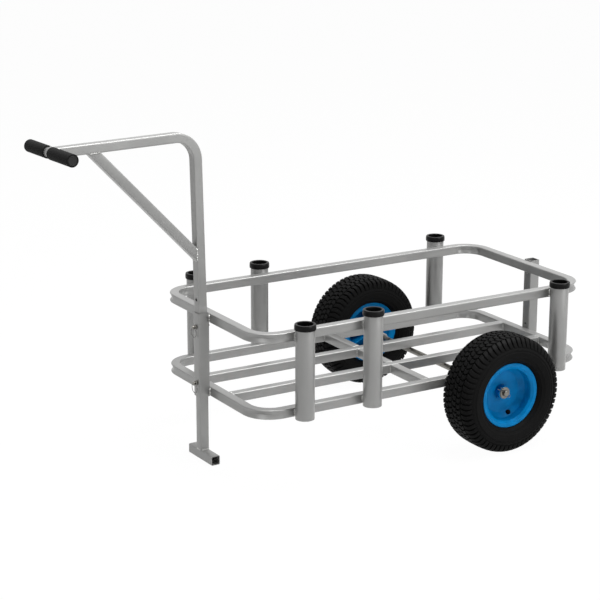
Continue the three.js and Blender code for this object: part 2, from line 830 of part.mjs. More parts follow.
function makeTrolley() {
  const trolley = new THREE.Group();
  trolley.add(makeRail("upper_rail", upperRailBottom), makeRail("lower_rail", lowerRailBottom));
  trolley.add(makeFloor(), makeHolders());
  trolley.add(makeSocket("front_receiver", socketX), makeSocket("rear_receiver", basketLength - socketX));
  trolley.add(makeHandle(), makeStand());
  trolley.add(makePullPin("handle_pin", handlePinHeight), makePullPin("stand_pin", standPinHeight));
  trolley.add(makeAxle());
  for (const side of sides) trolley.add(makeWheel(side));
  return trolley;
}

// The origin is on the ground, in the middle of the trolley's length and width.
const trolley = makeTrolley();
trolley.updateMatrixWorld(true);
const extent = new THREE.Box3().setFromObject(trolley, true);
const middle = extent.getCenter(new THREE.Vector3());
trolley.position.set(-middle.x, -middle.y, -extent.min.z);

export default trolley;
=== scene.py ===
"""Fishing trolley: the finished look of every piece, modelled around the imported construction.

Lengths are in metres. +Z is up, the handle end faces -X and the left side is -Y.
"""

import math

import bmesh
import bpy
from bpy.props import FloatProperty, FloatVectorProperty, IntProperty, PointerProperty
from mathutils import Euler, Matrix, Vector


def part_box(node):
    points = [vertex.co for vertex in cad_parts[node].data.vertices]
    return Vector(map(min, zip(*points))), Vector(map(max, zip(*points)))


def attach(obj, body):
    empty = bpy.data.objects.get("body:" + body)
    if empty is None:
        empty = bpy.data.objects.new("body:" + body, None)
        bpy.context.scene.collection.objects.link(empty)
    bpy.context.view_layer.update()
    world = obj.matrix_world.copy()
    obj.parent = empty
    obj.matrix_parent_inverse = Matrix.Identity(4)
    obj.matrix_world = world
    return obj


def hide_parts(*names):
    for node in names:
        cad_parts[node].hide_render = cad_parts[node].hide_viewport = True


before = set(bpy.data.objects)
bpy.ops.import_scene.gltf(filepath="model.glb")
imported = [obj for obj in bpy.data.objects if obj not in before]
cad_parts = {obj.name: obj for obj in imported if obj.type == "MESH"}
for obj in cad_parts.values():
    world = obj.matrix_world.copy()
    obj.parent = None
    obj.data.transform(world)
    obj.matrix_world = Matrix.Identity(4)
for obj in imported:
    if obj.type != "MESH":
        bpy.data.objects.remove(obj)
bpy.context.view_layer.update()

bl_info = {
    "name": "Fishing trolley",
    "version": (1, 0, 0),
    "blender": (4, 5, 0),
    "location": "3D View > Sidebar > Trolley",
    "description": "Models a two-wheeled fishing trolley piece by piece on its packed frame",
    "category": "Add Mesh",
}

MM = 0.001
SEAM = 0.3 * MM
SIDES = {"left": -1, "right": 1}
PLACES = ("front", "middle", "rear")
CROSS_MEMBERS = ("left", "middle", "right")


def linear(code):
    """An sRGB hex colour as linear red, green and blue."""
    channels = [int(code[i : i + 2], 16) / 255 for i in (0, 2, 4)]
    return [c / 12.92 if c <= 0.04045 else ((c + 0.055) / 1.055) ** 2.4 for c in channels]


def length(name, description, millimetres):
    """A length property with its default in millimetres."""
    return FloatProperty(
        name=name,
        description=description,
        default=millimetres * MM,
        min=0,
        unit="LENGTH",
        precision=4,
    )


def angle(name, description, degrees):
    """An angle property with its default in degrees."""
    return FloatProperty(
        name=name, description=description, default=math.radians(degrees), subtype="ANGLE"
    )


def colour(name, description, code):
    """A colour property with its default as an sRGB hex colour."""
    return FloatVectorProperty(
        name=name, description=description, default=linear(code), subtype="COLOR", min=0, max=1
    )


def power(name, description, watts):
    """A lamp's power property."""
    return FloatProperty(name=name, description=description, default=watts, min=0, unit="POWER")


class TrolleyTubeSettings(bpy.types.PropertyGroup):
    """How the tubes are bent and welded"""

    wall: length("Wall", "Wall of every tube", 1.6)
    edge: length("Edge", "Outer edge radius of the square tubes", 2.4)
    bend: length("Bend", "Outer radius of the rails' corners", 80)
    dent: length("Dent", "How far a rail's outer wall is pressed in at a bend", 6.2)
    wrinkle: length("Wrinkle", "How far the inner wall buckles at a bend", 3.6)
    bend_steps: IntProperty(name="Bend steps", description="Sections in a quarter turn", default=28)
    bead: length("Bead", "Width of a weld bead", 6.4)
    ripple: length("Ripple", "Distance between the ripples of a weld bead", 4.8)


class TrolleyHandleSettings(bpy.types.PropertyGroup):
    """How the handle and the stand are bent and sit in their socket"""

    lean: angle("Lean", "The post's lean in its socket", 1.3537)
    yaw: angle("Yaw", "The handle's turn in its socket", 3.1993)
    stand_yaw: angle("Stand yaw", "The stand's turn in its socket", 1.2791)
    turn: angle("Turn", "From the post to the stem", 89)
    bend: length("Bend", "Middle line radius between post and stem", 65.4)
    engaged: length("Engaged", "Length of the post in its socket", 60)
    rise: length("Rise", "From the socket's top to the stem's middle line", 477)
    stem: length("Stem", "From the post's axis to the crossbar's axis", 411.4)
    adjust: length("Adjust", "From the pin to the second hole above it", 75)
    pin_hole: length("Pin hole", "Holes through the post and the leg", 8.97)
    brace_reach: length("Brace reach", "From the post's axis to the brace's end on the stem", 296.6)
    brace_drop: length("Brace drop", "From the stem's line down to the brace's lower end", 314.3)
    foot: length("Foot", "Length of the stand's foot", 124.4)


class TrolleyWheelSettings(bpy.types.PropertyGroup):
    """Sizes of the tyres, rims and hubs"""

    pitches: IntProperty(name="Pitches", description="Tread blocks round the tyre", default=62)
    groove: length("Groove", "Width of the tread's grooves", 4.2)
    groove_depth: length("Groove depth", "Depth of the tread's grooves", 5.2)
    swing: length("Swing", "How far the tread's blocks swing to either side", 4)
    bead: length("Bead", "Diameter of the bead seat", 152.4)
    rim: length("Rim", "Diameter over the rim's flanges", 181.8)
    rim_width: length("Rim width", "Width over the rim's flanges", 88.2)
    rim_wall: length("Rim wall", "Wall of the rim", 2.6)
    disc: length("Disc", "Diameter of the flat disc", 118)
    slope: angle("Slope", "Slope of the band round the disc", 43.4)
    ribs: IntProperty(name="Ribs", description="Ribs behind the disc", default=6)
    hub_proud: length("Hub proud", "Outer end of the hub past the disc", 18.2)
    valve_left: angle("Left valve", "Place of the left wheel's valve", 110)
    valve_right: angle("Right valve", "Place of the right wheel's valve", 300)
    cotter_left: angle("Left cotter", "Turn of the left cotter pin", 140.5)
    cotter_right: angle("Right cotter", "Turn of the right cotter pin", 35)


class TrolleyFinishSettings(bpy.types.PropertyGroup):
    """Colours of the finishes"""

    aluminium: colour("Aluminium", "Satin tube", "8C8C8B")
    bead: colour("Weld beads", "Aluminium filler", "BCBCBA")
    zinc: colour("Zinc", "Zinc plated steel", "82807B")
    nickel: colour("Nickel", "Nickel plated split rings", "7C7C7A")
    cap: colour("Cap", "Rod holder caps", "070707")
    foam: colour("Foam", "Handle grips", "101010")
    plug: colour("Plug", "Grip end plugs", "1A1A1A")
    rubber: colour("Rubber", "Tyres and valves", "070707")
    rim: colour("Rim", "Wheel rims and hubs", "0068A0")
    floor: colour("Floor", "Studio floor", "F4F4F3")


class TrolleyStageSettings(bpy.types.PropertyGroup):
    """The camera and the lamps"""

    lens: FloatProperty(name="Lens", description="Focal length", default=108.72, unit="CAMERA")
    position: FloatVectorProperty(
        name="Position",
        description="Place of the camera",
        default=(-2.4864, -4.08869, 1.74881),
        subtype="XYZ",
        unit="LENGTH",
    )
    azimuth: angle("Azimuth", "The camera's turn round the trolley", -30.98)
    elevation: angle("Elevation", "The camera's height above the horizon", 15.8)
    roll: angle("Roll", "The camera's roll", 0.14)
    top_power: power("Top power", "Power of the lamp overhead", 350)
    side_power: power("Side power", "Power of the lamp to the right of the camera", 88)
    front_power: power("Front power", "Power of the lamp before the handle", 24)
    fill: FloatProperty(name="Fill", description="Brightness of the room", default=0.1, min=0)


GROUPS = {
    "tubes": TrolleyTubeSettings,
    "handle": TrolleyHandleSettings,
    "wheels": TrolleyWheelSettings,
    "finish": TrolleyFinishSettings,
    "stage": TrolleyStageSettings,
}


def settings(group):
    """One of the trolley's groups of settings."""
    return getattr(bpy.context.scene, f"trolley_{group}")


def middle(node):
    """The middle of a node's box."""
    low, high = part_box(node)
    return (low + high) / 2


def extent(node):
    """The size of a node's box."""
    low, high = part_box(node)
    return high - low


def tube_size():
    """The outer size of the frame's square tube."""
    return extent("upper_rail").z


def move(x=0.0, y=0.0, z=0.0):
    """A matrix that moves."""
    return Matrix.Translation((x, y, z))


def turn(degrees, axis):
    """A matrix that turns about an axis."""
    return Matrix.Rotation(math.radians(degrees), 4, axis)


# Steps that the modelling is made of


def start_clean():
    """Leaves edit mode and deselects everything."""
    if bpy.context.mode != "OBJECT":
        bpy.ops.object.mode_set(mode="OBJECT")
    bpy.ops.object.select_all(action="DESELECT")


def pick(*objects):
    """Selects these objects alone and makes the first of them active."""
    start_clean()
    for obj in objects:
        obj.select_set(True)
    bpy.context.view_layer.objects.active = objects[0]
    return objects[0]


def settle():
    """Applies the active object's place to its mesh and returns it."""
    obj = pick(bpy.context.view_layer.objects.active)
    bpy.ops.object.transform_apply(location=True, rotation=True, scale=True)
    return obj


def place(obj, matrix):
    """Moves an object's mesh by a matrix and leaves the object at the origin."""
    obj.matrix_world = matrix
    pick(obj)
    return settle()


def edit(obj):
    """Opens an object in edit mode."""
    pick(obj)
    bpy.ops.object.mode_set(mode="EDIT")
    return obj


def choose(kind, test):
    """In edit mode, selects the verts, edges or faces that pass a test."""
    bpy.ops.mesh.select_mode(type={"verts": "VERT", "edges": "EDGE", "faces": "FACE"}[kind])
    bpy.ops.mesh.select_all(action="DESELECT")
    mesh = bpy.context.edit_object.data
    shape = bmesh.from_edit_mesh(mesh)
    shape.normal_update()
    for item in [item for item in getattr(shape, kind) if test(item)]:
        item.select_set(True)
    shape.select_flush_mode()
    bmesh.update_edit_mesh(mesh)


def way_of(edge):
    """The direction of an edge, as its share along each axis."""
    way = (edge.verts[1].co - edge.verts[0].co).normalized()
    return Vector([abs(share) for share in way])


def extrude(*step):
    """In edit mode, extrudes what is selected by a step."""
    bpy.ops.mesh.extrude_region_move(TRANSFORM_OT_translate={"value": step})


def modify(obj, kind, **values):
    """Adds a modifier to an object and applies it."""
    pick(obj)
    bpy.ops.object.modifier_add(type=kind)
    modifier = obj.modifiers[-1]
    for name, value in values.items():
        setattr(modifier, name, value)
    bpy.ops.object.modifier_apply(modifier=modifier.name)
    return obj


def combine(obj, others, operation="DIFFERENCE"):
    """Cuts other objects out of one, or joins them to it, and removes them."""
    for other in others:
        modify(obj, "BOOLEAN", object=other, operation=operation, solver="EXACT")
        bpy.data.objects.remove(other)
    return obj


def join(objects):
    """Joins objects into the first of them."""
    pick(*objects)
    if len(objects) > 1:
        bpy.ops.object.join()
    return objects[0]


def copy_of(obj, matrix=None):
    """A copy of an object with a mesh of its own, moved by a matrix."""
    pick(obj)
    bpy.ops.object.duplicate()
    made = bpy.context.view_layer.objects.active
    return place(made, matrix) if matrix else made


def face_out(obj):
    """Merges doubled points and turns every face outwards."""
    edit(obj)
    bpy.ops.mesh.select_all(action="SELECT")
    bpy.ops.mesh.remove_doubles(threshold=0.01 * MM)
    bpy.ops.mesh.normals_make_consistent(inside=False)
    bpy.ops.object.mode_set(mode="OBJECT")
    return obj


def finished(obj, name, slot, material, nodes=(), body="chassis", smooth=32):
    """Names a piece, gives it its finish, ties it to its body and hides the imported nodes that it
    stands for.
    """
    pick(obj)
    bpy.ops.object.shade_smooth_by_angle(angle=math.radians(smooth))
    obj.name = obj.data.name = name
    obj.data.materials.clear()
    obj.data.materials.append(material)
    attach(obj, body)
    if nodes:
        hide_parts(*nodes)
    return obj


def finished_tube(obj, node):
    """Finishes a piece of aluminium tube that stands for one node."""
    return finished(obj, f"{node}_tube", "aluminium", finish("aluminium"), [node])


def fillet(outline, radius, steps=4):
    """Rounds the corners of a closed outline of points, by one radius or by one for each."""
    points = [Vector(point) for point in outline]
    radii = radius if isinstance(radius, (list, tuple)) else [radius] * len(points)
    rounded = []
    for index, (corner, size) in enumerate(zip(points, radii)):
        before = points[index - 1] - corner
        after = points[(index + 1) % len(points)] - corner
        half = before.angle(after) / 2
        # Corners that are nearly straight stay as they are
        if size == 0 or half > math.pi / 2 - 0.05:
            rounded.append(corner)
            continue
        reach = min(size / math.tan(half), 0.45 * before.length, 0.45 * after.length)
        start = corner + before.normalized() * reach
        end = corner + after.normalized() * reach
        for step in range(steps + 1):
            t = step / steps
            rounded.append(start * (1 - t) ** 2 + corner * 2 * t * (1 - t) + end * t**2)
    return rounded


def turned(rings, sides=64, closed=True):
    """A body turned about Z from rings of (radius, height).

    Each ring is extruded from the one before and scaled. Where closed is true the last ring is
    bridged to the first, and otherwise the two ends are faces.
    """
    start_clean()
    radius, height = rings[0]
    fill = "NOTHING" if closed else "NGON"
    bpy.ops.mesh.primitive_circle_add(
        vertices=sides, radius=radius, fill_type=fill, location=(0, 0, height)
    )
    body = settle()
    bpy.ops.object.mode_set(mode="EDIT")
    bpy.ops.mesh.select_mode(type="EDGE" if closed else "FACE")
    bpy.ops.mesh.select_all(action="SELECT")
    for next_radius, next_height in rings[1:]:
        extrude(0, 0, next_height - height)
        growth = next_radius / radius
        bpy.ops.transform.resize(value=(growth, growth, 1), center_override=(0, 0, 0))
        radius, height = next_radius, next_height
    if closed:
        choose("edges", lambda edge: edge.is_boundary)
        bpy.ops.mesh.bridge_edge_loops()
    bpy.ops.object.mode_set(mode="OBJECT")
    return face_out(body)


def rod(diameter, low, high, sides=48):
    """A round bar about Z."""
    return turned([(diameter / 2, low), (diameter / 2, high)], sides, closed=False)


def block(low, high):
    """A box between two corners."""
    start_clean()
    low, high = Vector(low), Vector(high)
    bpy.ops.mesh.primitive_cube_add(size=1, location=(low + high) / 2, scale=high - low)
    return settle()


def square_tube(size, low, high):
    """A square tube about Z, open at both ends, with rounded long edges."""
    tubes = settings("tubes")
    tube = block((-size / 2, -size / 2, low), (size / 2, size / 2, high))
    bpy.ops.object.mode_set(mode="EDIT")
    choose("faces", lambda face: abs(face.normal.z) > 0.5)
    bpy.ops.mesh.delete(type="ONLY_FACE")
    choose("edges", lambda edge: way_of(edge).z > 0.5)
    bpy.ops.mesh.bevel(offset=tubes.edge, segments=4, affect="EDGES")
    bpy.ops.object.mode_set(mode="OBJECT")
    return modify(tube, "SOLIDIFY", thickness=tubes.wall, offset=-1, use_even_offset=True)


def section(where, rotation):
    """The outline face of the frame's tube, its walls in strips that a bend can press in."""
    size = tube_size()
    start_clean()
    bpy.ops.mesh.primitive_plane_add(size=size, location=where, rotation=rotation)
    face = settle()
    bpy.ops.object.mode_set(mode="EDIT")
    bpy.ops.mesh.select_all(action="SELECT")
    bpy.ops.mesh.bevel(affect="VERTICES", offset=settings("tubes").edge, segments=4)
    choose("edges", lambda edge: edge.calc_length() > size / 2)
    bpy.ops.mesh.subdivide(number_cuts=7)
    choose("faces", lambda face: True)
    return face


def drop_end_faces():
    """In edit mode, deletes the outline faces at a swept tube's ends and leaves edit mode."""
    choose("faces", lambda face: len(face.verts) > 4)
    bpy.ops.mesh.delete(type="ONLY_FACE")
    bpy.ops.object.mode_set(mode="OBJECT")


def wire(paths, diameter, shares=None, roundness=2):
    """Round wire along paths of points. Shares gives each point's part of the full diameter."""
    start_clean()
    bpy.ops.curve.primitive_nurbs_path_add()
    line = bpy.context.view_layer.objects.active
    line.data.splines.clear()
    for index, path in enumerate(paths):
        spline = line.data.splines.new("POLY")
        spline.points.add(len(path) - 1)
        for number, point in enumerate(path):
            spline.points[number].co = (*point, 1)
            spline.points[number].radius = shares[index][number] if shares else 1
    line.data.dimensions = "3D"
    line.data.bevel_depth = diameter / 2
    line.data.bevel_resolution = roundness
    line.data.use_fill_caps = True
    pick(line)
    bpy.ops.object.convert(target="MESH")
    return face_out(settle())


def beads(name, seams, matrix=None):
    """Weld beads along seams, each a start, an end and a share of the full width."""
    # Widths of a bead at its tips and between two ripples, as shares of the full width
    tip_width, valley = 0.35, 0.42
    points_a_ripple, unevenness = 6, 0.16
    tubes = settings("tubes")
    paths, shares = [], []
    for start, end, share in seams:
        start, end = Vector(start), Vector(end)
        total = (end - start).length
        count = max(points_a_ripple, round(total / tubes.ripple * points_a_ripple))
        path, sizes = [], []
        for index in range(count + 1):
            along = total * index / count
            swell = abs(math.sin(math.pi * along / tubes.ripple))
            tip = min(1, tip_width + min(along, total - along) / (tubes.bead / 2))
            path.append(start.lerp(end, index / count))
            # A hand's unevenness, slower than the ripples and different on each seam
            uneven = 1 + unevenness * math.sin(0.37 * index + 40 * start.y)
            sizes.append(share * tip * uneven * (valley + (1 - valley) * swell))
        paths.append(path)
        shares.append(sizes)
    made = wire(paths, tubes.bead, shares)
    if matrix:
        place(made, matrix)
    return finished(made, name, "aluminium", finish("bead"), smooth=60)


# Finishes


# The range that most of a noise pattern lies in
SPREAD = {"From Min": 0.32, "From Max": 0.68}


def add_node(tree, kind, values=None, feeds=None, **properties):
    """Adds a node, sets its properties, sets or links its inputs and links what it feeds."""
    made = tree.nodes.new(kind)
    for name, value in properties.items():
        setattr(made, name, value)
    for name, value in (values or {}).items():
        if isinstance(value, bpy.types.NodeSocket):
            tree.links.new(value, made.inputs[name])
        else:
            made.inputs[name].default_value = value
    if feeds:
        tree.links.new(made.outputs[0], feeds)
    return made


def new_finish(name):
    """A new material's node tree, its surface shader and its object coordinates."""
    material = bpy.data.materials.new(name)
    material.use_nodes = True
    tree = material.node_tree
    surface = tree.nodes["Principled BSDF"]
    where = add_node(tree, "ShaderNodeTexCoord").outputs["Object"]
    return material, tree, surface, where


def per_feature(millimetres):
    """The scale at which a noise pattern's features have about a real size."""
    return 0.5 / (millimetres * MM)


def tint(tree, surface, pattern, base, dark, light):
    """Varies a surface's colour by a pattern, between darker and lighter shares of its base."""
    spread = add_node(tree, "ShaderNodeMapRange", {"Value": pattern, **SPREAD}).outputs[0]
    darker, lighter = ([min(1, part * share) for part in base] + [1] for share in (dark, light))
    # A Mix node's sockets for colours share their names with its others: inputs 6, 7, output 2
    mix = add_node(tree, "ShaderNodeMix", {0: spread, 6: darker, 7: lighter}, data_type="RGBA")
    tree.links.new(mix.outputs[2], surface.inputs["Base Color"])


def satin_aluminium():
    """Drawn 6061 tube, etched to a satin: soft handling marks, a slightly uneven sheen and a
    fine dull grain."""
    material, tree, surface, where = new_finish("satin_etched_aluminium")
    # Handling marks and uneven etching, about 60 mm across
    pattern = {"Vector": where, "Scale": per_feature(60), "Detail": 3}
    marks = add_node(tree, "ShaderNodeTexNoise", pattern).outputs["Fac"]
    # Etched grain is about 0.1 mm and is drawn at 0.8 mm, so that it shows
    pattern = {"Vector": where, "Scale": per_feature(0.8), "Detail": 2}
    etch = add_node(tree, "ShaderNodeTexNoise", pattern).outputs["Fac"]
    surface.inputs["Metallic"].default_value = 0.5
    tint(tree, surface, marks, settings("finish").aluminium, 0.95, 1.04)
    sheen = {"Value": marks, **SPREAD, "To Min": 0.31, "To Max": 0.37}
    add_node(tree, "ShaderNodeMapRange", sheen, surface.inputs["Roughness"])
    skin = {"Height": etch, "Strength": 0.15, "Distance": 0.05 * MM}
    add_node(tree, "ShaderNodeBump", skin, surface.inputs["Normal"])
    return material


def aluminium_bead():
    """Aluminium filler laid by hand: brighter than the tube, with a fine crystalline skin."""
    material, tree, surface, where = new_finish("welded_aluminium_bead")
    # Grain of the frozen pool, about 1 mm
    pattern = {"Vector": where, "Scale": 1 / (1.2 * MM)}
    grain = add_node(tree, "ShaderNodeTexVoronoi", pattern).outputs["Distance"]
    surface.inputs["Metallic"].default_value = 0.8
    surface.inputs["Roughness"].default_value = 0.3
    tint(tree, surface, grain, settings("finish").bead, 1.15, 0.5)
    skin = {"Height": grain, "Strength": 0.35, "Distance": 0.2 * MM}
    add_node(tree, "ShaderNodeBump", skin, surface.inputs["Normal"])
    return material


def zinc_plate():
    """Bright zinc on steel: semi-bright, with dulled patches and a faint crystal flow."""
    material, tree, surface, where = new_finish("zinc_plated_steel")
    # Dulled patches, about 6 mm across
    pattern = {"Vector": where, "Scale": per_feature(6), "Detail": 5, "Roughness": 0.65}
    patches = add_node(tree, "ShaderNodeTexNoise", pattern).outputs["Fac"]
    surface.inputs["Metallic"].default_value = 1
    tint(tree, surface, patches, settings("finish").zinc, 0.78, 1.12)
    sheen = {"Value": patches, **SPREAD, "To Min": 0.22, "To Max": 0.42}
    add_node(tree, "ShaderNodeMapRange", sheen, surface.inputs["Roughness"])
    skin = {"Height": patches, "Strength": 0.15, "Distance": 0.1 * MM}
    add_node(tree, "ShaderNodeBump", skin, surface.inputs["Normal"])
    return material


def nickel_plate():
    """Bright nickel on spring wire: glossy, with painted highlights and painted dark reflections as
    light and dark spots in its colour.
    """
    material, tree, surface, where = new_finish("nickel_plated_spring_wire")
    # Spots about 3 mm long, which paint highlights and dark reflections into the colour
    pattern = {"Vector": where, "Scale": per_feature(3), "Detail": 2}
    marks = add_node(tree, "ShaderNodeTexNoise", pattern).outputs["Fac"]
    surface.inputs["Metallic"].default_value = 1
    surface.inputs["Roughness"].default_value = 0.12
    # Painted highlights and painted dark reflections: the colour runs from 0.35 to 1.2 of the base
    tint(tree, surface, marks, settings("finish").nickel, 0.35, 1.2)
    return material


def moulded(name, base, roughness, shine, grain):
    """Injection moulded plastic with a spark-eroded skin, whose grain is given in millimetres."""
    material, tree, surface, where = new_finish(name)
    surface.inputs["Specular IOR Level"].default_value = shine
    # Flow and handling change the gloss over about 15 mm
    pattern = {"Vector": where, "Scale": per_feature(15), "Detail": 3}
    flow = add_node(tree, "ShaderNodeTexNoise", pattern).outputs["Fac"]
    tint(tree, surface, flow, base, 0.88, 1.12)
    sheen = {"Value": flow, **SPREAD, "To Min": roughness - 0.05, "To Max": roughness + 0.07}
    add_node(tree, "ShaderNodeMapRange", sheen, surface.inputs["Roughness"])
    # The real grain is about 0.2 mm and is drawn coarser, so that it shows
    pattern = {"Vector": where, "Scale": per_feature(grain), "Detail": 2}
    eroded = add_node(tree, "ShaderNodeTexNoise", pattern).outputs["Fac"]
    skin = {"Height": eroded, "Strength": 0.25, "Distance": 0.1 * MM}
    add_node(tree, "ShaderNodeBump", skin, surface.inputs["Normal"])
    return material


def nitrile_foam():
    """Closed-cell nitrile foam: matt, with a skin of fine open pores."""
    material, tree, surface, where = new_finish("nitrile_foam")
    # Pores are about 0.5 mm and are drawn at 1.1 mm, so that they show
    pattern = {"Vector": where, "Scale": 1 / (1.1 * MM)}
    pores = add_node(tree, "ShaderNodeTexVoronoi", pattern).outputs["Distance"]
    surface.inputs["Roughness"].default_value = 0.92
    surface.inputs["Specular IOR Level"].default_value = 0.2
    # Painted shade in the pores: the colour is darker where the bump sinks them
    tint(tree, surface, pores, settings("finish").foam, 0.6, 1.4)
    skin = {"Height": pores, "Strength": 0.6, "Distance": 0.4 * MM}
    add_node(tree, "ShaderNodeBump", skin, surface.inputs["Normal"])
    return material


def vulcanised_rubber():
    """Black tyre rubber: dull, with a greyish bloom in patches and the mould's fine grain."""
    material, tree, surface, where = new_finish("vulcanised_rubber")
    # Bloom and dust in patches of about 30 mm
    pattern = {"Vector": where, "Scale": per_feature(30), "Detail": 5, "Roughness": 0.6}
    bloom = add_node(tree, "ShaderNodeTexNoise", pattern).outputs["Fac"]
    # Mould grain of about 0.8 mm
    pattern = {"Vector": where, "Scale": per_feature(0.8), "Detail": 2}
    grain = add_node(tree, "ShaderNodeTexNoise", pattern).outputs["Fac"]
    surface.inputs["Specular IOR Level"].default_value = 0.07
    tint(tree, surface, bloom, settings("finish").rubber, 0.8, 1.3)
    sheen = {"Value": bloom, **SPREAD, "To Min": 0.56, "To Max": 0.72}
    add_node(tree, "ShaderNodeMapRange", sheen, surface.inputs["Roughness"])
    skin = {"Height": grain, "Strength": 0.3, "Distance": 0.12 * MM}
    add_node(tree, "ShaderNodeBump", skin, surface.inputs["Normal"])
    return material


FINISHES = {
    "aluminium": satin_aluminium,
    "bead": aluminium_bead,
    "zinc": zinc_plate,
    "nickel": nickel_plate,
    "cap": lambda: moulded("moulded_polyethylene_black", settings("finish").cap, 0.34, 0.12, 0.7),
    "plug": lambda: moulded("moulded_nylon_grey", settings("finish").plug, 0.55, 0.25, 0.6),
    "rim": lambda: moulded("moulded_polypropylene_blue", settings("finish").rim, 0.36, 0.06, 1.2),
    "foam": nitrile_foam,
    "rubber": vulcanised_rubber,
}
made_finishes = {}


def finish(name):
    """One of the trolley's materials, made the first time that it is asked for."""
    if name not in made_finishes:
        made_finishes[name] = FINISHES[name]()
    return made_finishes[name]


# Basket


def buckled(share, folds, shallowest):
    """How far a bend's inner wall goes into the tube, at a share of the way round the bend."""
    wave = shallowest + (1 - shallowest) * math.sin(folds * math.pi * share) ** 2
    return settings("tubes").wrinkle * wave * math.sin(math.pi * share) ** 0.5


def press_rail(rail, node):
    """Presses in the outer wall and buckles the inner wall of a rail at its four bends."""
    tubes = settings("tubes")
    centre, size = middle(node), extent(node)
    straight = Vector((size.x / 2 - tubes.bend, size.y / 2 - tubes.bend))
    for vertex in rail.data.vertices:
        offset = vertex.co - centre
        arm = Vector((abs(offset.x), abs(offset.y))) - straight
        if min(arm) <= 0:
            continue
        share = math.atan2(arm.y, arm.x) / (math.pi / 2)
        bowl = max(0, 1 - abs(offset.z) / (size.z / 2 - tubes.edge)) ** 0.8
        reach = arm.length
        if reach > tubes.bend - tubes.edge:
            reach -= tubes.dent * bowl * math.sin(math.pi * share) ** 0.7
        elif reach < tubes.bend - size.z + tubes.edge:
            reach += bowl * buckled(share, folds=3, shallowest=0.35)
        arm = arm.normalized() * reach + straight
        vertex.co.x = centre.x + math.copysign(arm.x, offset.x)
        vertex.co.y = centre.y + math.copysign(arm.y, offset.y)


def make_rail(node):
    """One closed rail: the tube's section is run along four sides and spun round four corners."""
    vent_size = 5 * MM
    tubes = settings("tubes")
    low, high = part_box(node)
    size = high.z - low.z
    mid = (low + high) / 2
    rail = section((mid.x, low.y + size / 2, mid.z), (0, math.pi / 2, 0))
    half_run = (high.x - low.x) / 2 - tubes.bend
    side_run = high.y - low.y - 2 * tubes.bend
    near, far = low + Vector((tubes.bend,) * 3), high - Vector((tubes.bend,) * 3)
    corners = [(far.x, near.y), (far.x, far.y), (near.x, far.y), (near.x, near.y)]
    runs = [(half_run, 0), (0, side_run), (-2 * half_run, 0), (0, -side_run)]
    for (x, y), corner in zip(runs, corners):
        extrude(x, y, 0)
        bpy.ops.mesh.spin(
            steps=tubes.bend_steps, angle=math.pi / 2, center=(*corner, mid.z), axis=(0, 0, -1)
        )
    extrude(half_run, 0, 0)
    drop_end_faces()
    face_out(rail)
    press_rail(rail, node)
    vent = rod(vent_size, low.z - size / 4, low.z + size / 4, 24)
    place(vent, move(high.x - size / 2, 2 * middle("slat_right").y))
    combine(rail, [vent])
    return finished(rail, f"{node}_bent_tube", "aluminium", finish("aluminium"), [node])


def straight_tube(node, matrix):
    """A straight square tube on its node's box, open at both ends."""
    size = extent(node)
    tube = square_tube(min(size), -max(size) / 2, max(size) / 2)
    return place(tube, Matrix.Translation(middle(node)) @ matrix)


class TROLLEY_OT_rails(bpy.types.Operator):
    """Adds the two bent rails of the basket"""

    bl_idname = "trolley.rails"
    bl_label = "Rails"

    def execute(self, context):
        for node in ("upper_rail", "lower_rail"):
            make_rail(node)
        return {"FINISHED"}


class TROLLEY_OT_floor_tubes(bpy.types.Operator):
    """Adds the slats and the cross members of the basket's floor"""

    bl_idname = "trolley.floor_tubes"
    bl_label = "Floor tubes"

    def execute(self, context):
        ways = {f"slat_{side}": turn(90, "Y") for side in SIDES}
        ways.update({f"cross_member_{name}": turn(90, "X") for name in CROSS_MEMBERS})
        for node, way in ways.items():
            finished_tube(straight_tube(node, way), node)
        return {"FINISHED"}


class TROLLEY_OT_receivers(bpy.types.Operator):
    """Adds the two upright sockets with their pin holes"""

    bl_idname = "trolley.receivers"
    bl_label = "Receivers"

    def execute(self, context):
        bore, reach = 6.95 * MM, 30 * MM
        for node in ("front_receiver", "rear_receiver"):
            tube = straight_tube(node, Matrix.Identity(4))
            centre = middle(node)
            for pin in ("handle_pin", "stand_pin"):
                hole = rod(bore, -reach, reach, 32)
                place(hole, move(centre.x, centre.y, middle(pin).z) @ turn(90, "Y"))
                combine(tube, [hole])
            finished_tube(tube, node)
        return {"FINISHED"}


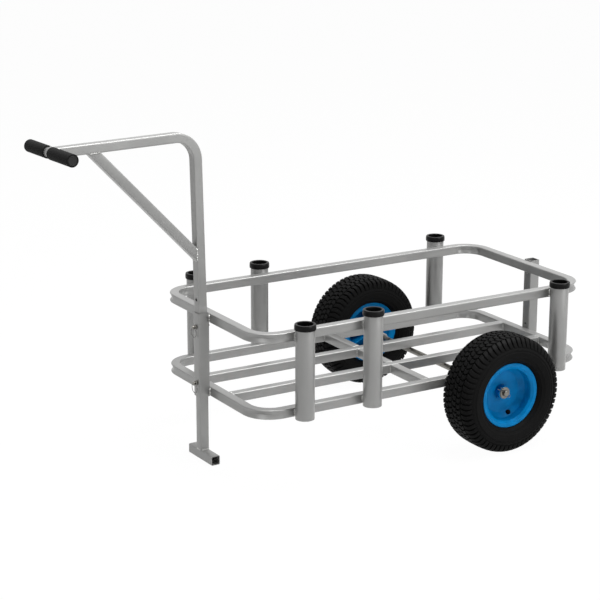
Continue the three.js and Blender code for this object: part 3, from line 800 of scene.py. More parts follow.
class TROLLEY_OT_rod_holders(bpy.types.Operator):
    """Adds the six rod holder tubes and their caps"""

    bl_idname = "trolley.rod_holders"
    bl_label = "Rod holders"

    def execute(self, context):
        cap = self.make_cap()
        for side in SIDES:
            for name in PLACES:
                node = f"rod_holder_{side}_{name}"
                low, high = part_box(node)
                spot = middle(node)
                tube = self.make_tube(high.x - spot.x, low.z, high.z)
                place(tube, move(spot.x, spot.y))
                finished_tube(tube, node)
                made = copy_of(cap, move(spot.x, spot.y, high.z))
                cap_node = f"rod_holder_cap_{side}_{name}"
                finished(made, f"{cap_node}_moulding", "cap_plastic", finish("cap"), [cap_node])
        bpy.data.objects.remove(cap)
        return {"FINISHED"}

    def make_tube(self, outer, low, high):
        """A holder about Z, with a floor for the rod to stand on and a drain hole through it."""
        bore = outer - settings("tubes").wall
        drain, floor = 7 * MM, low + 3 * MM
        outline = [(drain, low), (outer, low), (outer, high)]
        outline += [(bore, high), (bore, floor), (drain, floor)]
        return turned(fillet(outline, 0.4 * MM, 2), 72)

    def make_cap(self):
        """The cap about Z, with the tube's end at height zero."""
        outer = extent("rod_holder_cap_left_front").x / 2
        tube = extent("rod_holder_left_front").x / 2
        bore = tube - settings("tubes").wall - SEAM
        mouth = bore - 2.2 * MM
        top = SEAM + 3 * MM
        skirt, sleeve = -11.7 * MM, -16 * MM
        outline = [
            (tube + SEAM, skirt),
            (outer - 0.5 * MM, skirt),
            (outer, skirt + 4 * MM),
            (outer - 0.2 * MM, top - 4 * MM),
            (outer - 1.3 * MM, top),
            (mouth, top),
            (mouth, sleeve),
            (bore, sleeve),
            (bore, SEAM),
            (tube + SEAM, SEAM),
        ]
        radii = [0.2, 0.6, 2, 1.5, 1.2, 1.5, 0.5, 0.3, 0, 0]
        return turned(fillet(outline, [radius * MM for radius in radii]), 72)


# Handle and stand


def handle_matrix():
    """The handle's own frame: the post along Z, the stem towards -X, the origin in mid socket."""
    handle = settings("handle")
    socket = middle("front_receiver")
    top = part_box("front_receiver")[1].z
    way = Euler((0, -handle.lean, handle.yaw)).to_matrix().to_4x4()
    return move(socket.x, socket.y, top - handle.engaged / 2) @ way


def along_stem(distance):
    """A point on the stem's middle line, in the handle's frame."""
    handle = settings("handle")
    height = handle.engaged / 2 + handle.rise
    return Vector((-math.sin(handle.turn) * distance, 0, height + math.cos(handle.turn) * distance))


def stem_matrix(distance):
    """A frame on the stem's middle line, its X towards the post, in the handle's frame."""
    tilt = Matrix.Rotation(math.pi / 2 - settings("handle").turn, 4, "Y")
    return Matrix.Translation(along_stem(distance)) @ tilt


def brace_ends():
    """The middles of the brace's ends on the post and on the stem, in the handle's frame."""
    handle = settings("handle")
    half = tube_size() / 2
    foot = Vector((-half, 0, along_stem(0).z - handle.brace_drop))
    return foot, along_stem(handle.brace_reach) - Vector((0, 0, half))


def buckle_handle(post, start):
    """Buckles the inner wall of the handle's bend."""
    handle, size = settings("handle"), tube_size()
    inner = handle.bend - size / 2 + settings("tubes").edge
    for vertex in post.data.vertices:
        arm = Vector((vertex.co.x + handle.bend, vertex.co.z - start))
        share = math.atan2(arm.y, arm.x) / handle.turn
        if not 0 < share < 1 or arm.length > inner:
            continue
        bowl = max(0, math.cos(math.pi * vertex.co.y / size)) ** 1.5
        reach = arm.length + bowl * buckled(share, folds=3.5, shallowest=0.3)
        arm = arm.normalized() * reach
        vertex.co.x, vertex.co.z = arm.x - handle.bend, arm.y + start


def make_handle_tube():
    """Post, bend and stem in one tube, with its pin holes, coped round the crossbar."""
    handle, tubes, size = settings("handle"), settings("tubes"), tube_size()
    setback = handle.bend * math.tan(handle.turn / 2)
    start = along_stem(0).z - setback
    tube = section((0, 0, -handle.engaged / 2), (0, 0, 0))
    extrude(0, 0, start + handle.engaged / 2)
    bpy.ops.mesh.spin(
        steps=tubes.bend_steps, angle=handle.turn, center=(-handle.bend, 0, start), axis=(0, 1, 0)
    )
    extrude(*(along_stem(handle.stem) - along_stem(setback)))
    drop_end_faces()
    face_out(tube)
    buckle_handle(tube, start)
    modify(tube, "SOLIDIFY", thickness=tubes.wall, offset=-1, use_even_offset=True)
    pin = middle("handle_pin").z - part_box("front_receiver")[1].z + handle.engaged / 2
    for height in (pin, pin + handle.adjust):
        hole = rod(handle.pin_hole, -size, size, 32)
        combine(tube, [place(hole, move(z=height) @ turn(90, "Y"))])
    cope = rod(size + 2 * SEAM, -size, size, 64)
    combine(tube, [place(cope, stem_matrix(handle.stem) @ turn(90, "X"))])
    place(tube, handle_matrix())
    finished(tube, "handle_bent_tube", "aluminium", finish("aluminium"), ["handle_tube"])


def make_brace():
    """The diagonal between post and stem, cut to fit both."""
    handle, size = settings("handle"), tube_size()
    foot, head = brace_ends()
    run = head - foot
    brace = square_tube(size, -2 * size, run.length + 2 * size)
    place(brace, Matrix.Translation(foot) @ Matrix.Rotation(math.atan2(run.x, run.z), 4, "Y"))
    face = size / 2 + SEAM
    post = block((-face, -size, -size), (4 * size, size, 2 * head.z))
    stem = block((-handle.stem, -size, -face), (0, size, 4 * size))
    combine(brace, [post, place(stem, stem_matrix(0))])
    place(brace, handle_matrix())
    finished_tube(brace, "handle_brace")


def make_crossbar():
    """The round bar on the stem's end, the foam grips pushed on it and the plugs in its ends."""
    handle, wall, bar = settings("handle"), settings("tubes").wall, tube_size() / 2
    grip_radius, head = 16.5 * MM, 2 * MM
    # The grips' lengths, and how far from the stem's middle line each starts
    lengths = {"left": 109.4 * MM, "right": 101.7 * MM}
    starts = {"left": 8.2 * MM, "right": 14.2 * MM}
    ends = {side: starts[side] + lengths[side] - head - SEAM for side in SIDES}
    across = handle_matrix() @ Matrix.Translation(along_stem(handle.stem)) @ turn(-90, "X")
    low, high, bore = -ends["left"], ends["right"], bar - wall
    tube = place(turned([(bore, low), (bar, low), (bar, high), (bore, high)]), across)
    finished_tube(tube, "handle_crossbar")
    for side, sign in SIDES.items():
        flip = across @ Matrix.Diagonal((1, 1, sign, 1))
        face, reach = bar + SEAM, lengths[side]
        outline = [(face, 0), (grip_radius, 0), (grip_radius, reach), (face, reach)]
        grip = turned(fillet(outline, [0, 2.6 * MM, 2.6 * MM, 0.6 * MM], 5))
        face_out(place(grip, flip @ move(z=starts[side])))
        notch = block((0, -face, -face), (4 * face, face, face))
        combine(grip, [place(notch, handle_matrix() @ stem_matrix(handle.stem))])
        finished(grip, f"grip_{side}_foam", "grip_foam", finish("foam"), [f"grip_{side}"])

        body, edge = bar - wall - SEAM, 0.7 * MM
        rings = [(body, -14 * MM), (body, 0), (bar, 0), (bar, head - edge), (bar - edge, head)]
        rings += [(bar - 2.6 * MM, head), (bar - 3 * MM, head - 0.4 * MM)]
        plug = turned(rings, closed=False)
        face_out(place(plug, flip @ move(z=ends[side] + SEAM)))
        node = f"grip_plug_{side}"
        finished(plug, f"{node}_moulding", "grip_plug", finish("plug"), [node])


class TROLLEY_OT_handle(bpy.types.Operator):
    """Adds the pull handle with its brace, crossbar, grips and plugs"""

    bl_idname = "trolley.handle"
    bl_label = "Handle"

    def execute(self, context):
        make_handle_tube()
        make_brace()
        make_crossbar()
        return {"FINISHED"}


def stand_matrix():
    """The stand's own frame: the leg along Z over the ground, turned a little in its socket."""
    socket = middle("front_receiver")
    return move(socket.x, socket.y) @ Matrix.Rotation(settings("handle").stand_yaw, 4, "Z")


class TROLLEY_OT_stand(bpy.types.Operator):
    """Adds the stand's leg and foot"""

    bl_idname = "trolley.stand"
    bl_label = "Stand"

    def execute(self, context):
        handle, size = settings("handle"), tube_size()
        # The foot reaches further to the left of the leg than to its right
        offset = -0.06 * handle.foot
        low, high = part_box("stand_leg")
        leg = square_tube(size, low.z, high.z)
        hole = rod(handle.pin_hole, -size, size, 32)
        combine(leg, [place(hole, move(z=middle("stand_pin").z) @ turn(90, "Y"))])
        place(leg, stand_matrix())
        finished_tube(leg, "stand_leg")
        foot = square_tube(size, -handle.foot / 2, handle.foot / 2)
        place(foot, stand_matrix() @ move(y=offset, z=size / 2) @ turn(-90, "X"))
        finished_tube(foot, "stand_foot")
        return {"FINISHED"}


class TROLLEY_OT_pull_pins(bpy.types.Operator):
    """Adds the two pull pins and their split rings"""

    bl_idname = "trolley.pull_pins"
    bl_label = "Pull pins"

    def execute(self, context):
        pin, ring = self.make_pin(), self.make_ring()
        for node in ("handle_pin", "stand_pin"):
            spot = move(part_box(node)[0].x, middle(node).y, middle(node).z)
            made = copy_of(pin, spot @ turn(90, "Y"))
            finished(made, f"{node}_turned", "steel", finish("zinc"), [node], f"{node}_body")
            coil = f"{node}_ring"
            made = copy_of(ring, Matrix.Translation(middle(coil)))
            finished(made, f"{coil}_coil", "steel", finish("nickel"), [coil], f"{coil}_body")
        bpy.data.objects.remove(pin)
        bpy.data.objects.remove(ring)
        return {"FINISHED"}

    def make_pin(self):
        """A pull pin along Z with the end of its button at height zero."""
        reach = extent("handle_pin").x
        shank, button, shoulder = 3.175 * MM, 4.75 * MM, 6.5 * MM
        flange, ring_hole = 8.4 * MM, 4.4 * MM
        collar = flange + 2.5 * MM
        rings = [
            (button - 1.2 * MM, 0),
            (button - 0.3 * MM, 0.3 * MM),
            (button, 1 * MM),
            (button, flange - 0.5 * MM),
            (button + 0.4 * MM, flange),
            (shoulder - 0.5 * MM, flange),
            (shoulder, flange + 0.5 * MM),
            (shoulder, collar - 0.5 * MM),
            (shoulder - 0.5 * MM, collar),
            (shank, collar),
            (shank, reach - 1.5 * MM),
            (shank - 0.5 * MM, reach - 0.5 * MM),
            (shank - 1.3 * MM, reach),
        ]
        pin = turned(rings, 40, closed=False)
        hole = rod(ring_hole, -10 * MM, 10 * MM, 24)
        return combine(pin, [place(hole, move(z=flange / 2) @ turn(90, "X"))])

    def make_ring(self):
        """A split ring in the YZ plane: two turns of flattened wire."""
        size = extent("handle_pin_ring")
        strand = size.x
        radius = (size.y - strand) / 2
        turns, steps = 2, 48
        path = []
        for index in range(turns * steps + 1):
            way = 2 * math.pi * index / steps
            along = strand * (index / (turns * steps) - 0.5)
            path.append((along, radius * math.sin(way), -radius * math.cos(way)))
        return place(wire([path], strand, roundness=3), Matrix.Diagonal((0.5, 1, 1, 1)))


# Wheels and axle


def wheel_matrix(side, sign):
    """A wheel's own frame: its axis along Z, outwards positive, the disc's outer face at zero."""
    low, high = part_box(f"hub_{side}")
    outer = high.y if sign > 0 else low.y
    axle = middle("axle")
    matrix = move(axle.x, outer - sign * settings("wheels").hub_proud, axle.z)
    return matrix @ turn(0 if sign > 0 else 180, "Z") @ turn(-90, "X")


def smooth_line(points, steps=8):
    """A smooth curve through points, as a list of points."""
    line = [Vector(point) for point in points]
    padded = [2 * line[0] - line[1], *line, 2 * line[-1] - line[-2]]
    made = []
    for a, b, c, d in zip(padded, padded[1:], padded[2:], padded[3:]):
        for step in range(steps):
            t = step / steps
            square = (2 * a - 5 * b + 4 * c - d) * t**2
            cube = (3 * b - a - 3 * c + d) * t**3
            made.append(0.5 * (2 * b + (c - a) * t + square + cube))
    return made + [line[-1]]


def tyre_line():
    """The tyre's outer section from the middle of the crown to the rim, as (radius, offset)."""
    size = extent("tyre_left")
    crown, belly = size.z / 2 - 0.05 * MM, size.y / 2 - 0.6 * MM
    edge = settings("wheels").rim / 2
    seat = settings("wheels").bead / 2
    height = crown - seat
    # Shares of the section's height and half breadth, from the crown down
    shares = [(1, 0), (0.998, 0.25), (0.978, 0.62), (0.91, 0.83)]
    shares += [(0.75, 0.95), (0.5, 1), (0.28, 0.9)]
    points = [(seat + rise * height, breadth * belly) for rise, breadth in shares]
    return smooth_line([*points, (edge + 0.6 * MM, 44 * MM)])


def walk(line, distance):
    """The point at a distance along a line, and the line's outward normal there."""
    for start, end in zip(line, line[1:]):
        step = end - start
        if distance <= step.length or end is line[-1]:
            way = step.normalized()
            return start + way * distance, Vector((way.y, -way.x))
        distance -= step.length


def run_to(line, radius):
    """The distance along a section line to where its radius falls to a value."""
    run = 0
    for start, end in zip(line, line[1:]):
        if end.x < radius:
            return run + (start.x - radius) / (start.x - end.x) * (end - start).length
        run += (end - start).length
    return run


def groove_share(line, distance):
    """How much of the tread's full depth is left at a distance along the section."""
    # The grooves grow shallow on the shoulder, between these two radii
    full, gone = run_to(line, 152 * MM), run_to(line, 137 * MM)
    if distance >= gone:
        return 0
    return 0.25 + 0.75 * min(1, (gone - distance) / (gone - full))


def tread_block(line, start, end, shift, lean, sign):
    """One block of tread between two distances along the section, wrapped onto the tyre."""
    wheels = settings("wheels")
    crown = line[0].x
    pitch = 2 * math.pi * crown / wheels.pitches
    # A block's foot goes a little way into the casing, and its sides draw in towards the top
    sink, taper, chamfer, part = 1 * MM, 0.9 * MM, 0.8 * MM, 4.5 * MM
    rise = wheels.groove_depth + sink
    foot = (pitch - wheels.groove) / 2 + 0.5 * MM
    start_clean()
    parts = max(3, round((end - start) / part))
    bpy.ops.mesh.primitive_grid_add(x_subdivisions=2, y_subdivisions=parts, size=1)
    made = bpy.context.view_layer.objects.active
    place(made, move(y=(start + end) / 2) @ Matrix.Diagonal((2 * foot, end - start, 1, 1)))
    bpy.ops.object.mode_set(mode="EDIT")
    bpy.ops.mesh.select_mode(type="FACE")
    bpy.ops.mesh.select_all(action="SELECT")
    extrude(0, 0, rise)
    bpy.ops.transform.resize(value=(1 - taper / foot, 1, 1), center_override=(0, 0, 0))

    def on_top_edge(edge):
        high = min(vert.co.z for vert in edge.verts) > rise / 2
        return high and any(abs(face.normal.z) < 0.5 for face in edge.link_faces)

    choose("edges", on_top_edge)
    bpy.ops.mesh.bevel(offset=chamfer, segments=1, affect="EDGES")
    bpy.ops.object.mode_set(mode="OBJECT")
    for vertex in made.data.vertices:
        around, across, height = vertex.co
        spot, normal = walk(line, across)
        spot = spot + normal * (height - rise) * max(0.3, groove_share(line, across))
        bow = wheels.swing * math.sin(math.pi * (across - start) / (end - start))
        way = (around + bow + lean * (across - start) + shift * pitch) / crown
        vertex.co = (spot.x * math.cos(way), spot.x * math.sin(way), sign * spot.y)
    return made


def casing_outline(line):
    """The tyre's closed section under its tread, with the sidewall's fine rings."""
    wheels = settings("wheels")
    total = run_to(line, wheels.rim / 2 + 0.7 * MM)
    # The rings' radii and rises, and across a ring its offsets in millimetres and shares of rise
    rings = {128 * MM: -0.8 * MM, 124 * MM: 0.5 * MM, 110 * MM: 0.5 * MM, 100 * MM: 0.9 * MM}
    ring_profile = ((-1.7, 0), (-0.8, 1), (0.8, 1), (1.7, 0))
    steps = 33
    heights = {}
    for radius, rise in rings.items():
        distance = run_to(line, radius)
        for shift, share in ring_profile:
            heights[distance + shift * MM] = rise * share
    spans = [run_to(line, radius) for radius in rings]
    for index in range(steps + 1):
        distance = total * index / steps
        if all(abs(distance - span) > 2 * MM for span in spans):
            heights[distance] = -wheels.groove_depth * groove_share(line, distance)
    outer = []
    for distance in sorted(heights):
        spot, normal = walk(line, distance)
        outer.append(tuple(spot + normal * heights[distance]))
    seat = wheels.bead / 2 + SEAM
    bead = [(wheels.rim / 2, 39.9 * MM), (seat + 4 * MM, 35.2 * MM)]
    bead += [(seat, 32 * MM), (seat, 26.9 * MM)]
    inside = [(83.8, 31.6), (98.1, 48.6), (112, 53), (126.6, 54)]
    inside += [(142, 45.5), (153.4, 32.4), (153.6, 0)]
    half = outer + bead + [(radius * MM, offset * MM) for radius, offset in inside]
    return half + [(radius, -offset) for radius, offset in reversed(half[1:-1])]


def make_tyre():
    """The tyre about Z: a turned casing under blocks of tread, one pitch of which is spun round."""
    wheels = settings("wheels")
    line = tyre_line()
    casing = turned(casing_outline(line), 2 * wheels.pitches)
    gap = wheels.groove / 2
    # Where the first and the second row of blocks end, from the middle of the crown
    first, second = 16.5 * MM, 34 * MM
    shoulder = run_to(line, 138.5 * MM)
    blocks = []
    for sign, phase in ((1, 0), (-1, 0.5)):
        # Start, end, shift round the tyre in pitches, and lean of each row
        rows = [
            (0.5 * gap, first, phase, 0.25),
            (first + gap, second, phase + 0.5, -0.25),
            (second + gap, shoulder, phase + 0.1, 0.08),
        ]
        for start, end, shift, lean in rows:
            blocks.append(tread_block(line, start, end, shift, lean, sign))
    tread = edit(join(blocks))
    bpy.ops.mesh.select_all(action="SELECT")
    step = 2 * math.pi / wheels.pitches
    bpy.ops.mesh.spin(
        steps=wheels.pitches - 1,
        angle=2 * math.pi - step,
        dupli=True,
        center=(0, 0, 0),
        axis=(0, 0, 1),
    )
    bpy.ops.object.mode_set(mode="OBJECT")
    return face_out(join([casing, tread]))


def rim_sizes():
    """Radii of the disc, the bead seat, the flange and the shell, and the band's rise over run."""
    wheels = settings("wheels")
    shell = wheels.bead / 2 - wheels.rim_wall
    return wheels.disc / 2, wheels.bead / 2, wheels.rim / 2, shell, math.tan(wheels.slope)


def valve_matrix(place_angle):
    """The valve's frame: its axis square to the sloped band, at an angle round the wheel."""
    disc, _, _, shell, slope = rim_sizes()
    reach = (disc + shell) / 2
    tilt = Matrix.Rotation(-settings("wheels").slope, 4, "Y")
    return Matrix.Rotation(place_angle, 4, "Z") @ move(reach, 0, (reach - disc) * slope) @ tilt


def make_rim(hub):
    """The rim about Z: disc, sloped band, barrel and flanges in one turned wall, ribbed behind."""
    wheels = settings("wheels")
    disc, bead, edge, shell, slope = rim_sizes()
    wall, half = wheels.rim_wall, wheels.rim_width / 2
    well = disc + wall * math.sin(wheels.slope)
    flange = (edge - bead) / 2
    back = wall / math.cos(wheels.slope)
    rise = (shell - disc) * slope
    lip = wall / 2
    knee = -rise - (bead - well)
    hole = hub + SEAM
    # Radius, height and corner radius in millimetres, round the wall
    profile = [
        (hole, 0, 0),
        (disc, 0, 7),
        (shell, rise, 6),
        (shell, half - flange, 3),
        (shell + flange, half - lip, 3),
        (edge - lip, half, 0.9),
        (edge, half - lip, 0.6),
        (edge - lip, half - wall, 0.5),
        (bead, half - flange, 3),
        (bead, (bead - disc) * slope - back, 4),
        (well, (well - disc) * slope - back, 4),
        (well, -rise, 3),
        (bead, knee, 3),
        (bead, -half + flange, 3),
        (edge - lip, -half + wall, 0.5),
        (edge, -half + lip, 0.6),
        (edge - lip, -half, 0.9),
        (shell, -half + flange, 3),
        (shell, knee - lip, 3),
        (well - wall, -rise - lip, 3),
        (well - wall, -wall, 3),
        (hole, -wall, 0),
    ]
    outline = [(radius, height) for radius, height, _ in profile]
    rim = turned(fillet(outline, [size * MM for _, _, size in profile], 5), 96)
    thick = 4 * MM
    ribs = []
    for index in range(wheels.ribs):
        rib = block((hole + 0.2 * MM, -thick / 2, -half), (shell + lip / 2, thick / 2, -lip))
        edit(rib)
        choose("verts", lambda vert: vert.co.x > shell and vert.co.z < -half / 2)
        bpy.ops.transform.translate(value=(0, 0, flange))
        bpy.ops.object.mode_set(mode="OBJECT")
        combine(rib, [block((well - lip, -thick, -rise - lip), (edge, thick, 0))])
        ribs.append(place(rib, turn(360 * (index + 0.5) / wheels.ribs, "Z")))
    return combine(rim, ribs, "UNION")


def make_valve():
    """A snap-in valve about Z: a base behind the rim, a neck in its hole and a short stem."""
    back = -settings("wheels").rim_wall - SEAM
    neck, stem = 6.7 * MM, 4.5 * MM
    rings = [
        (9 * MM, back - 2 * MM),
        (9.5 * MM, back - 1.5 * MM),
        (9.5 * MM, back),
        (neck, back),
        (neck, 0),
        (neck - 0.5 * MM, 1.2 * MM),
        (stem + 0.4 * MM, 2.2 * MM),
        (stem, 3 * MM),
        (stem, 6.2 * MM),
        (stem - 0.8 * MM, 7 * MM),
        (1.6 * MM, 7 * MM),
        (1.6 * MM, 5 * MM),
    ]
    return turned(rings, 40, closed=False)


def make_bearing(outer, inner):
    """A sealed bearing about Z below height zero: two rings with a recessed seal between them."""
    low = -12 * MM
    outline = [
        (inner, low),
        (outer, low),
        (outer, 0),
        (outer - 2 * MM, 0),
        (outer - 2.4 * MM, -0.7 * MM),
        (inner + 2.4 * MM, -0.7 * MM),
        (inner + 2 * MM, 0),
        (inner, 0),
    ]
    return turned(fillet(outline, 0.3 * MM, 2))


class TROLLEY_OT_wheels(bpy.types.Operator):
    """Adds the two wheels, each a tyre on a rim with a hub, its bearings and a valve"""

    bl_idname = "trolley.wheels"
    bl_label = "Wheels"

    def execute(self, context):
        wheels = settings("wheels")
        hub = extent("hub_left").z / 2
        bore, valve_hole = hub - 2.5 * MM, 14 * MM
        proud = wheels.hub_proud
        low = proud - extent("hub_left").y
        shaft = extent("axle").z / 2 + SEAM
        outline = [(bore, low), (hub, low), (hub, proud), (bore, proud)]
        bearing = make_bearing(bore - SEAM, shaft)
        pieces = {
            "tyre": (make_tyre(), "tyre_rubber", "rubber"),
            "rim": (make_rim(hub), "rim_blue", "rim"),
            "hub": (turned(fillet(outline, 0.8 * MM, 3)), "rim_blue", "rim"),
            "bearing_outer": (copy_of(bearing, move(z=proud)), "steel", "zinc"),
            "bearing_inner": (place(bearing, move(z=low) @ turn(180, "X")), "steel", "zinc"),
            "valve_stem": (make_valve(), "valve_rubber", "rubber"),
        }
        for side, sign in SIDES.items():
            valve = valve_matrix(getattr(wheels, f"valve_{side}"))
            for name, (pattern, slot, material) in pieces.items():
                made = copy_of(pattern, valve if name == "valve_stem" else Matrix.Identity(4))
                if name == "rim":
                    combine(made, [place(rod(valve_hole, -10 * MM, 10 * MM, 40), valve)])
                place(made, wheel_matrix(side, sign))
                node = f"{name}_{side}"
                finished(made, f"{node}_finished", slot, finish(material), [node], f"wheel_{side}")
        for pattern, _, _ in pieces.values():
            bpy.data.objects.remove(pattern)
        return {"FINISHED"}


def make_cotter():
    """A split pin in the XZ plane, its legs towards +X: one flattened wire bent into an eye."""
    strand, axle = 1.7 * MM, extent("axle").z / 2
    # How far each leg is bent aside, and the wire's breadth as a share of its thickness
    spread, breadth, steps = math.radians(9), 1.7, 24
    half = strand / 2
    eye = 5 * MM - half
    centre = -axle - SEAM - 5 * MM
    fork = axle + SEAM
    along, aside = math.cos(spread), math.sin(spread)
    long, short = 25 * MM, 20 * MM
    neck = math.asin(half / eye)
    path = [(fork + long * along, 0, half + long * aside), (fork, 0, half)]
    for index in range(steps + 1):
        way = neck + (2 * math.pi - 2 * neck) * index / steps
        path.append((centre + eye * math.cos(way), 0, eye * math.sin(way)))
    path += [(fork, 0, -half), (fork + short * along, 0, -half - short * aside)]
    return place(wire([path], strand, roundness=3), Matrix.Diagonal((1, breadth, 1, 1)))


def make_washer(outer, inner):
    """A pressed washer about Z."""
    half = 1 * MM
    outline = [(inner, -half), (outer, -half), (outer, half), (inner, half)]
    return turned(fillet(outline, [0.2 * MM, 0.3 * MM, 0.7 * MM, 0.4 * MM], 3))


class TROLLEY_OT_axle(bpy.types.Operator):
    """Adds the axle with its sleeves, washers and cotter pins"""

    bl_idname = "trolley.axle"
    bl_label = "Axle"

    def execute(self, context):
        wheels = settings("wheels")
        size, centre = extent("axle"), middle("axle")
        radius, half, edge = size.z / 2, size.y / 2, 1.2 * MM
        rings = [(radius - edge, -half), (radius, edge - half)]
        rings += [(radius, half - edge), (radius - edge, half)]
        pin_hole, inset = 5.1 * MM, 5 * MM
        axle = place(turned(rings, closed=False), Matrix.Translation(centre) @ turn(-90, "X"))
        cotter = make_cotter()
        washer = make_washer(extent("washer_outer_left").z / 2, radius + SEAM)
        for side, sign in SIDES.items():
            spot = move(centre.x, sign * (half - inset), centre.z)
            way = spot @ Matrix.Rotation(-getattr(wheels, f"cotter_{side}"), 4, "Y")
            hole = rod(pin_hole, -20 * MM, 20 * MM, 24)
            combine(axle, [place(hole, way @ turn(90, "Y"))])
            made, node = copy_of(cotter, way), f"cotter_pin_{side}"
            finished(made, f"{node}_bent", "steel", finish("zinc"), [node])
            for name in ("inner", "outer"):
                node = f"washer_{name}_{side}"
                made = copy_of(washer, Matrix.Translation(middle(node)) @ turn(90, "X"))
                finished(made, f"{node}_pressed", "steel", finish("zinc"), [node])
            node = f"axle_sleeve_{side}"
            reach, outer, bore = extent(node).y / 2, extent(node).z / 2, radius + SEAM
            outline = [(bore, -reach), (outer, -reach), (outer, reach), (bore, reach)]
            sleeve = turned(fillet(outline, 0.5 * MM, 2))
            place(sleeve, Matrix.Translation(middle(node)) @ turn(90, "X"))
            finished_tube(sleeve, node)
        finished(axle, "axle_bar", "steel", finish("zinc"), ["axle"])
        bpy.data.objects.remove(cotter)
        bpy.data.objects.remove(washer)
        return {"FINISHED"}


# Welds


class TROLLEY_OT_welds(bpy.types.Operator):
    """Adds the weld beads that join the tubes"""

    bl_idname = "trolley.welds"
    bl_label = "Welds"

    def execute(self, context):
        self.weld_holders()
        self.weld_floor()
        self.weld_receivers()
        self.weld_handle()
        self.weld_stand()
        self.weld_sleeves()
        return {"FINISHED"}

    def weld_holders(self):
        """A bead up each side of every holder, on both rails."""
        aside, proud, inset = 15.5 * MM, 1.6 * MM, 2.5 * MM
        for side, sign in SIDES.items():
            seams = []
            for name in PLACES:
                spot = middle(f"rod_holder_{side}_{name}")
                for rail in ("upper_rail", "lower_rail"):
                    low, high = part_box(rail)
                    y = (high.y if sign > 0 else low.y) + sign * proud
                    for x in (spot.x - aside, spot.x + aside):
                        seams.append(((x, y, low.z + inset), (x, y, high.z - inset), 1.35))
            beads(f"weld_rod_holders_{side}", seams)

    def weld_floor(self):
        """Beads round the ends of the slats and the cross members."""
        seams = []
        ends = [(f"slat_{side}", Vector((1, 0, 0))) for side in SIDES]
        ends += [(f"cross_member_{name}", Vector((0, 1, 0))) for name in CROSS_MEMBERS]
        for node, way in ends:
            low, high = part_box(node)
            reach = (high - low).dot(way) / 2 - SEAM
            for sign in (-1, 1):
                spot = middle(node) + way * reach * sign
                seams += self.end_seams(spot, Vector((-way.y, way.x, 0)))
        beads("weld_floor", seams)

    def end_seams(self, spot, across):
        """Beads round one end of a level tube: across its top and bottom, and up its sides."""
        half, up = tube_size() / 2, Vector((0, 0, 1))
        wide, tall = across * half * 0.86, up * (half - 2.5 * MM)
        seams = []
        for sign in (-1, 1):
            level = spot + up * (half - 1.1 * MM) * sign
            seams.append((level - wide, level + wide, 0.62))
            side = spot + across * half * sign
            seams.append((side - tall, side + tall, 0.65))
        return seams

    def weld_receivers(self):
        """A bead down each side of both sockets, on both rails."""
        proud, inset = 0.6 * MM, 2 * MM
        seams = []
        for node, end, way in (("front_receiver", 0, -1), ("rear_receiver", 1, 1)):
            aside = extent(node).y / 2 + 0.4 * MM
            for rail in ("upper_rail", "lower_rail"):
                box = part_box(rail)
                x = box[end].x + way * proud
                for y in (-aside, aside):
                    seams.append(((x, y, box[0].z + inset), (x, y, box[1].z - inset), 1.3))
        beads("weld_receivers", seams)

    def weld_handle(self):
        """Beads round both ends of the brace and where the stem meets the crossbar."""
        handle, half = settings("handle"), tube_size() / 2
        foot, head = brace_ends()
        run = (head - foot).normalized()
        wide = Vector((0, half * 0.8, 0))
        seams = []
        for end, along in ((foot, Vector((0, 0, 1))), (head, Vector((-1, 0, 0)))):
            reach = along * (half / run.cross(along).length)
            for sign in (-1, 1):
                side = end + Vector((0, sign * (half - 0.3 * MM), 0))
                seams.append((side - reach * 0.9, side + reach * 0.9, 0.8))
                cross = end + reach * sign
                seams.append((cross - wide, cross + wide, 0.8))
        end, up = along_stem(handle.stem), Vector((0, 0, half * 0.8))
        for sign in (-1, 1):
            side = end + Vector((half * 0.55, sign * (half + 0.5 * MM), 0))
            seams.append((side - up, side + up, 0.75))
            level = end + Vector((half * 0.25, 0, sign * half * 0.97))
            seams.append((level - wide, level + wide, 0.75))
        beads("weld_handle", seams, handle_matrix())

    def weld_stand(self):
        """Beads round the leg on the foot's top."""
        half = tube_size() / 2
        height, run = 2 * half + 0.8 * MM, half * 0.88
        seams = []
        for edge in (-half, half):
            seams.append(((-run, edge, height), (run, edge, height), 0.9))
            seams.append(((edge * 0.97, -run, height), (edge * 0.97, run, height), 0.7))
        beads("weld_stand", seams, stand_matrix())

    def weld_sleeves(self):
        """Beads along both sides of the axle sleeves, under the lower rail."""
        seams = []
        aside, inset = 8 * MM, 2 * MM
        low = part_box("lower_rail")[0]
        z = low.z - 1.6 * MM
        for side, sign in SIDES.items():
            centre = middle(f"axle_sleeve_{side}")
            outer, inner = sign * (-low.y - inset), sign * (-low.y - tube_size() + inset)
            for x in (centre.x - aside, centre.x + aside):
                seams.append(((x, outer, z), (x, inner, z), 1))
        beads("weld_axle_sleeves", seams)


# Stage


def seen_ray(tree):
    """One where a ray comes from the camera, a reflection or a transmission, and zero elsewhere."""
    rays = add_node(tree, "ShaderNodeLightPath").outputs
    both = {0: rays["Is Camera Ray"], 1: rays["Is Glossy Ray"]}
    first = add_node(tree, "ShaderNodeMath", both, operation="MAXIMUM").outputs[0]
    both = {0: first, 1: rays["Is Transmission Ray"]}
    return add_node(tree, "ShaderNodeMath", both, operation="MAXIMUM").outputs[0]


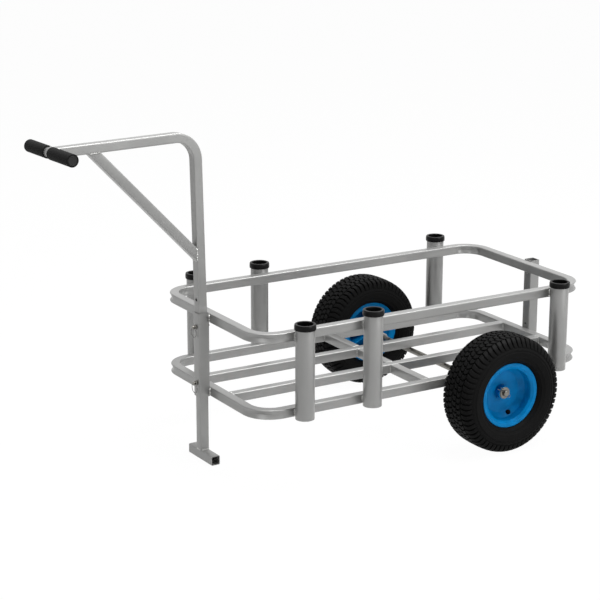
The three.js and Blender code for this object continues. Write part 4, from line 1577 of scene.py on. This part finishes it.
def make_floor():
    """A plain pale floor that the camera sees as almost white, with the trolley's shadow on it."""
    start_clean()
    bpy.ops.mesh.primitive_plane_add(size=80)
    floor = settle()
    floor.name = "studio_floor"
    material, tree, surface, where = new_finish("painted_studio_floor")
    # Soft roller marks in the paint, about 300 mm across
    pattern = {"Vector": where, "Scale": per_feature(300), "Detail": 2}
    marks = add_node(tree, "ShaderNodeTexNoise", pattern).outputs["Fac"]
    tint(tree, surface, marks, settings("finish").floor, 0.985, 1)
    surface.inputs["Roughness"].default_value = 0.8
    white = add_node(tree, "ShaderNodeEmission", {"Color": (1, 1, 1, 1), "Strength": 1})
    # The share of plain white that is seen, which leaves the shadow faint
    share = {0: seen_ray(tree), 1: 0.975}
    lift = add_node(tree, "ShaderNodeMath", share, operation="MULTIPLY")
    both = {0: lift.outputs[0], 1: surface.outputs[0], 2: white.outputs[0]}
    output = tree.nodes["Material Output"]
    add_node(tree, "ShaderNodeMixShader", both, output.inputs["Surface"])
    floor.data.materials.append(material)


def make_world():
    """A white room that lights the trolley softly from all sides."""
    world = bpy.data.worlds.new("studio_room")
    bpy.context.scene.world = world
    world.use_nodes = True
    tree = world.node_tree
    back = tree.nodes["Background"]
    back.inputs["Color"].default_value = (1, 1, 1, 1)
    spread = {"Value": seen_ray(tree), "To Min": settings("stage").fill, "To Max": 1}
    add_node(tree, "ShaderNodeMapRange", spread, back.inputs["Strength"])


def make_lamp(name, spot, aim, size, watts):
    """A square soft lamp aimed at a point."""
    start_clean()
    rotation = (Vector(aim) - Vector(spot)).to_track_quat("-Z", "Y").to_euler()
    bpy.ops.object.light_add(type="AREA", location=spot, rotation=rotation)
    lamp = bpy.context.view_layer.objects.active
    lamp.name = name
    lamp.data.shape = "SQUARE"
    lamp.data.size = size
    lamp.data.energy = watts


def make_camera():
    """The camera at the photograph's place and angle."""
    stage = settings("stage")
    start_clean()
    tilt = Matrix.Rotation(math.pi / 2 - stage.elevation, 4, "X")
    way = Matrix.Rotation(stage.azimuth, 4, "Z") @ tilt @ Matrix.Rotation(stage.roll, 4, "Z")
    bpy.ops.object.camera_add(location=stage.position, rotation=way.to_euler())
    camera = bpy.context.view_layer.objects.active
    camera.data.sensor_width = 36
    camera.data.lens = stage.lens
    camera.data.clip_end = 200
    bpy.context.scene.camera = camera


class TROLLEY_OT_stage(bpy.types.Operator):
    """Adds the floor, the room, the lamps and the camera"""

    bl_idname = "trolley.stage"
    bl_label = "Stage"

    def execute(self, context):
        stage = settings("stage")
        bpy.context.scene.view_settings.view_transform = "Standard"
        make_floor()
        make_world()
        make_lamp("lamp_overhead", (1.1, -0.5, 4.2), (0.1, 0, 0.3), 3.4, stage.top_power)
        make_lamp("lamp_front", (-3.6, -2, 3.6), (0, 0, 0.4), 1.4, stage.front_power)
        make_lamp("lamp_side", (2.4, -4.8, 1.9), (0, 0, 0.35), 2.2, stage.side_power)
        make_camera()
        return {"FINISHED"}


OPERATORS = (
    TROLLEY_OT_stage,
    TROLLEY_OT_rails,
    TROLLEY_OT_floor_tubes,
    TROLLEY_OT_receivers,
    TROLLEY_OT_rod_holders,
    TROLLEY_OT_handle,
    TROLLEY_OT_stand,
    TROLLEY_OT_pull_pins,
    TROLLEY_OT_axle,
    TROLLEY_OT_wheels,
    TROLLEY_OT_welds,
)


class TROLLEY_PT_panel(bpy.types.Panel):
    """Lists the trolley's pieces and settings"""

    bl_idname = "TROLLEY_PT_panel"
    bl_label = "Fishing trolley"
    bl_space_type = "VIEW_3D"
    bl_region_type = "UI"
    bl_category = "Trolley"

    def draw(self, context):
        for group, kind in GROUPS.items():
            box = self.layout.box()
            box.label(text=group.title())
            for name in kind.__annotations__:
                box.prop(settings(group), name)
        for operator in OPERATORS:
            self.layout.operator(operator.bl_idname)


def register():
    for group, kind in GROUPS.items():
        bpy.utils.register_class(kind)
        setattr(bpy.types.Scene, f"trolley_{group}", PointerProperty(type=kind))
    for kind in (*OPERATORS, TROLLEY_PT_panel):
        bpy.utils.register_class(kind)


def unregister():
    for kind in (TROLLEY_PT_panel, *reversed(OPERATORS)):
        bpy.utils.unregister_class(kind)
    for group, kind in reversed(GROUPS.items()):
        delattr(bpy.types.Scene, f"trolley_{group}")
        bpy.utils.unregister_class(kind)


def main():
    register()
    for operator in OPERATORS:
        group, name = operator.bl_idname.split(".")
        getattr(getattr(bpy.ops, group), name)()
    start_clean()


if __name__ == "__main__":
    main()
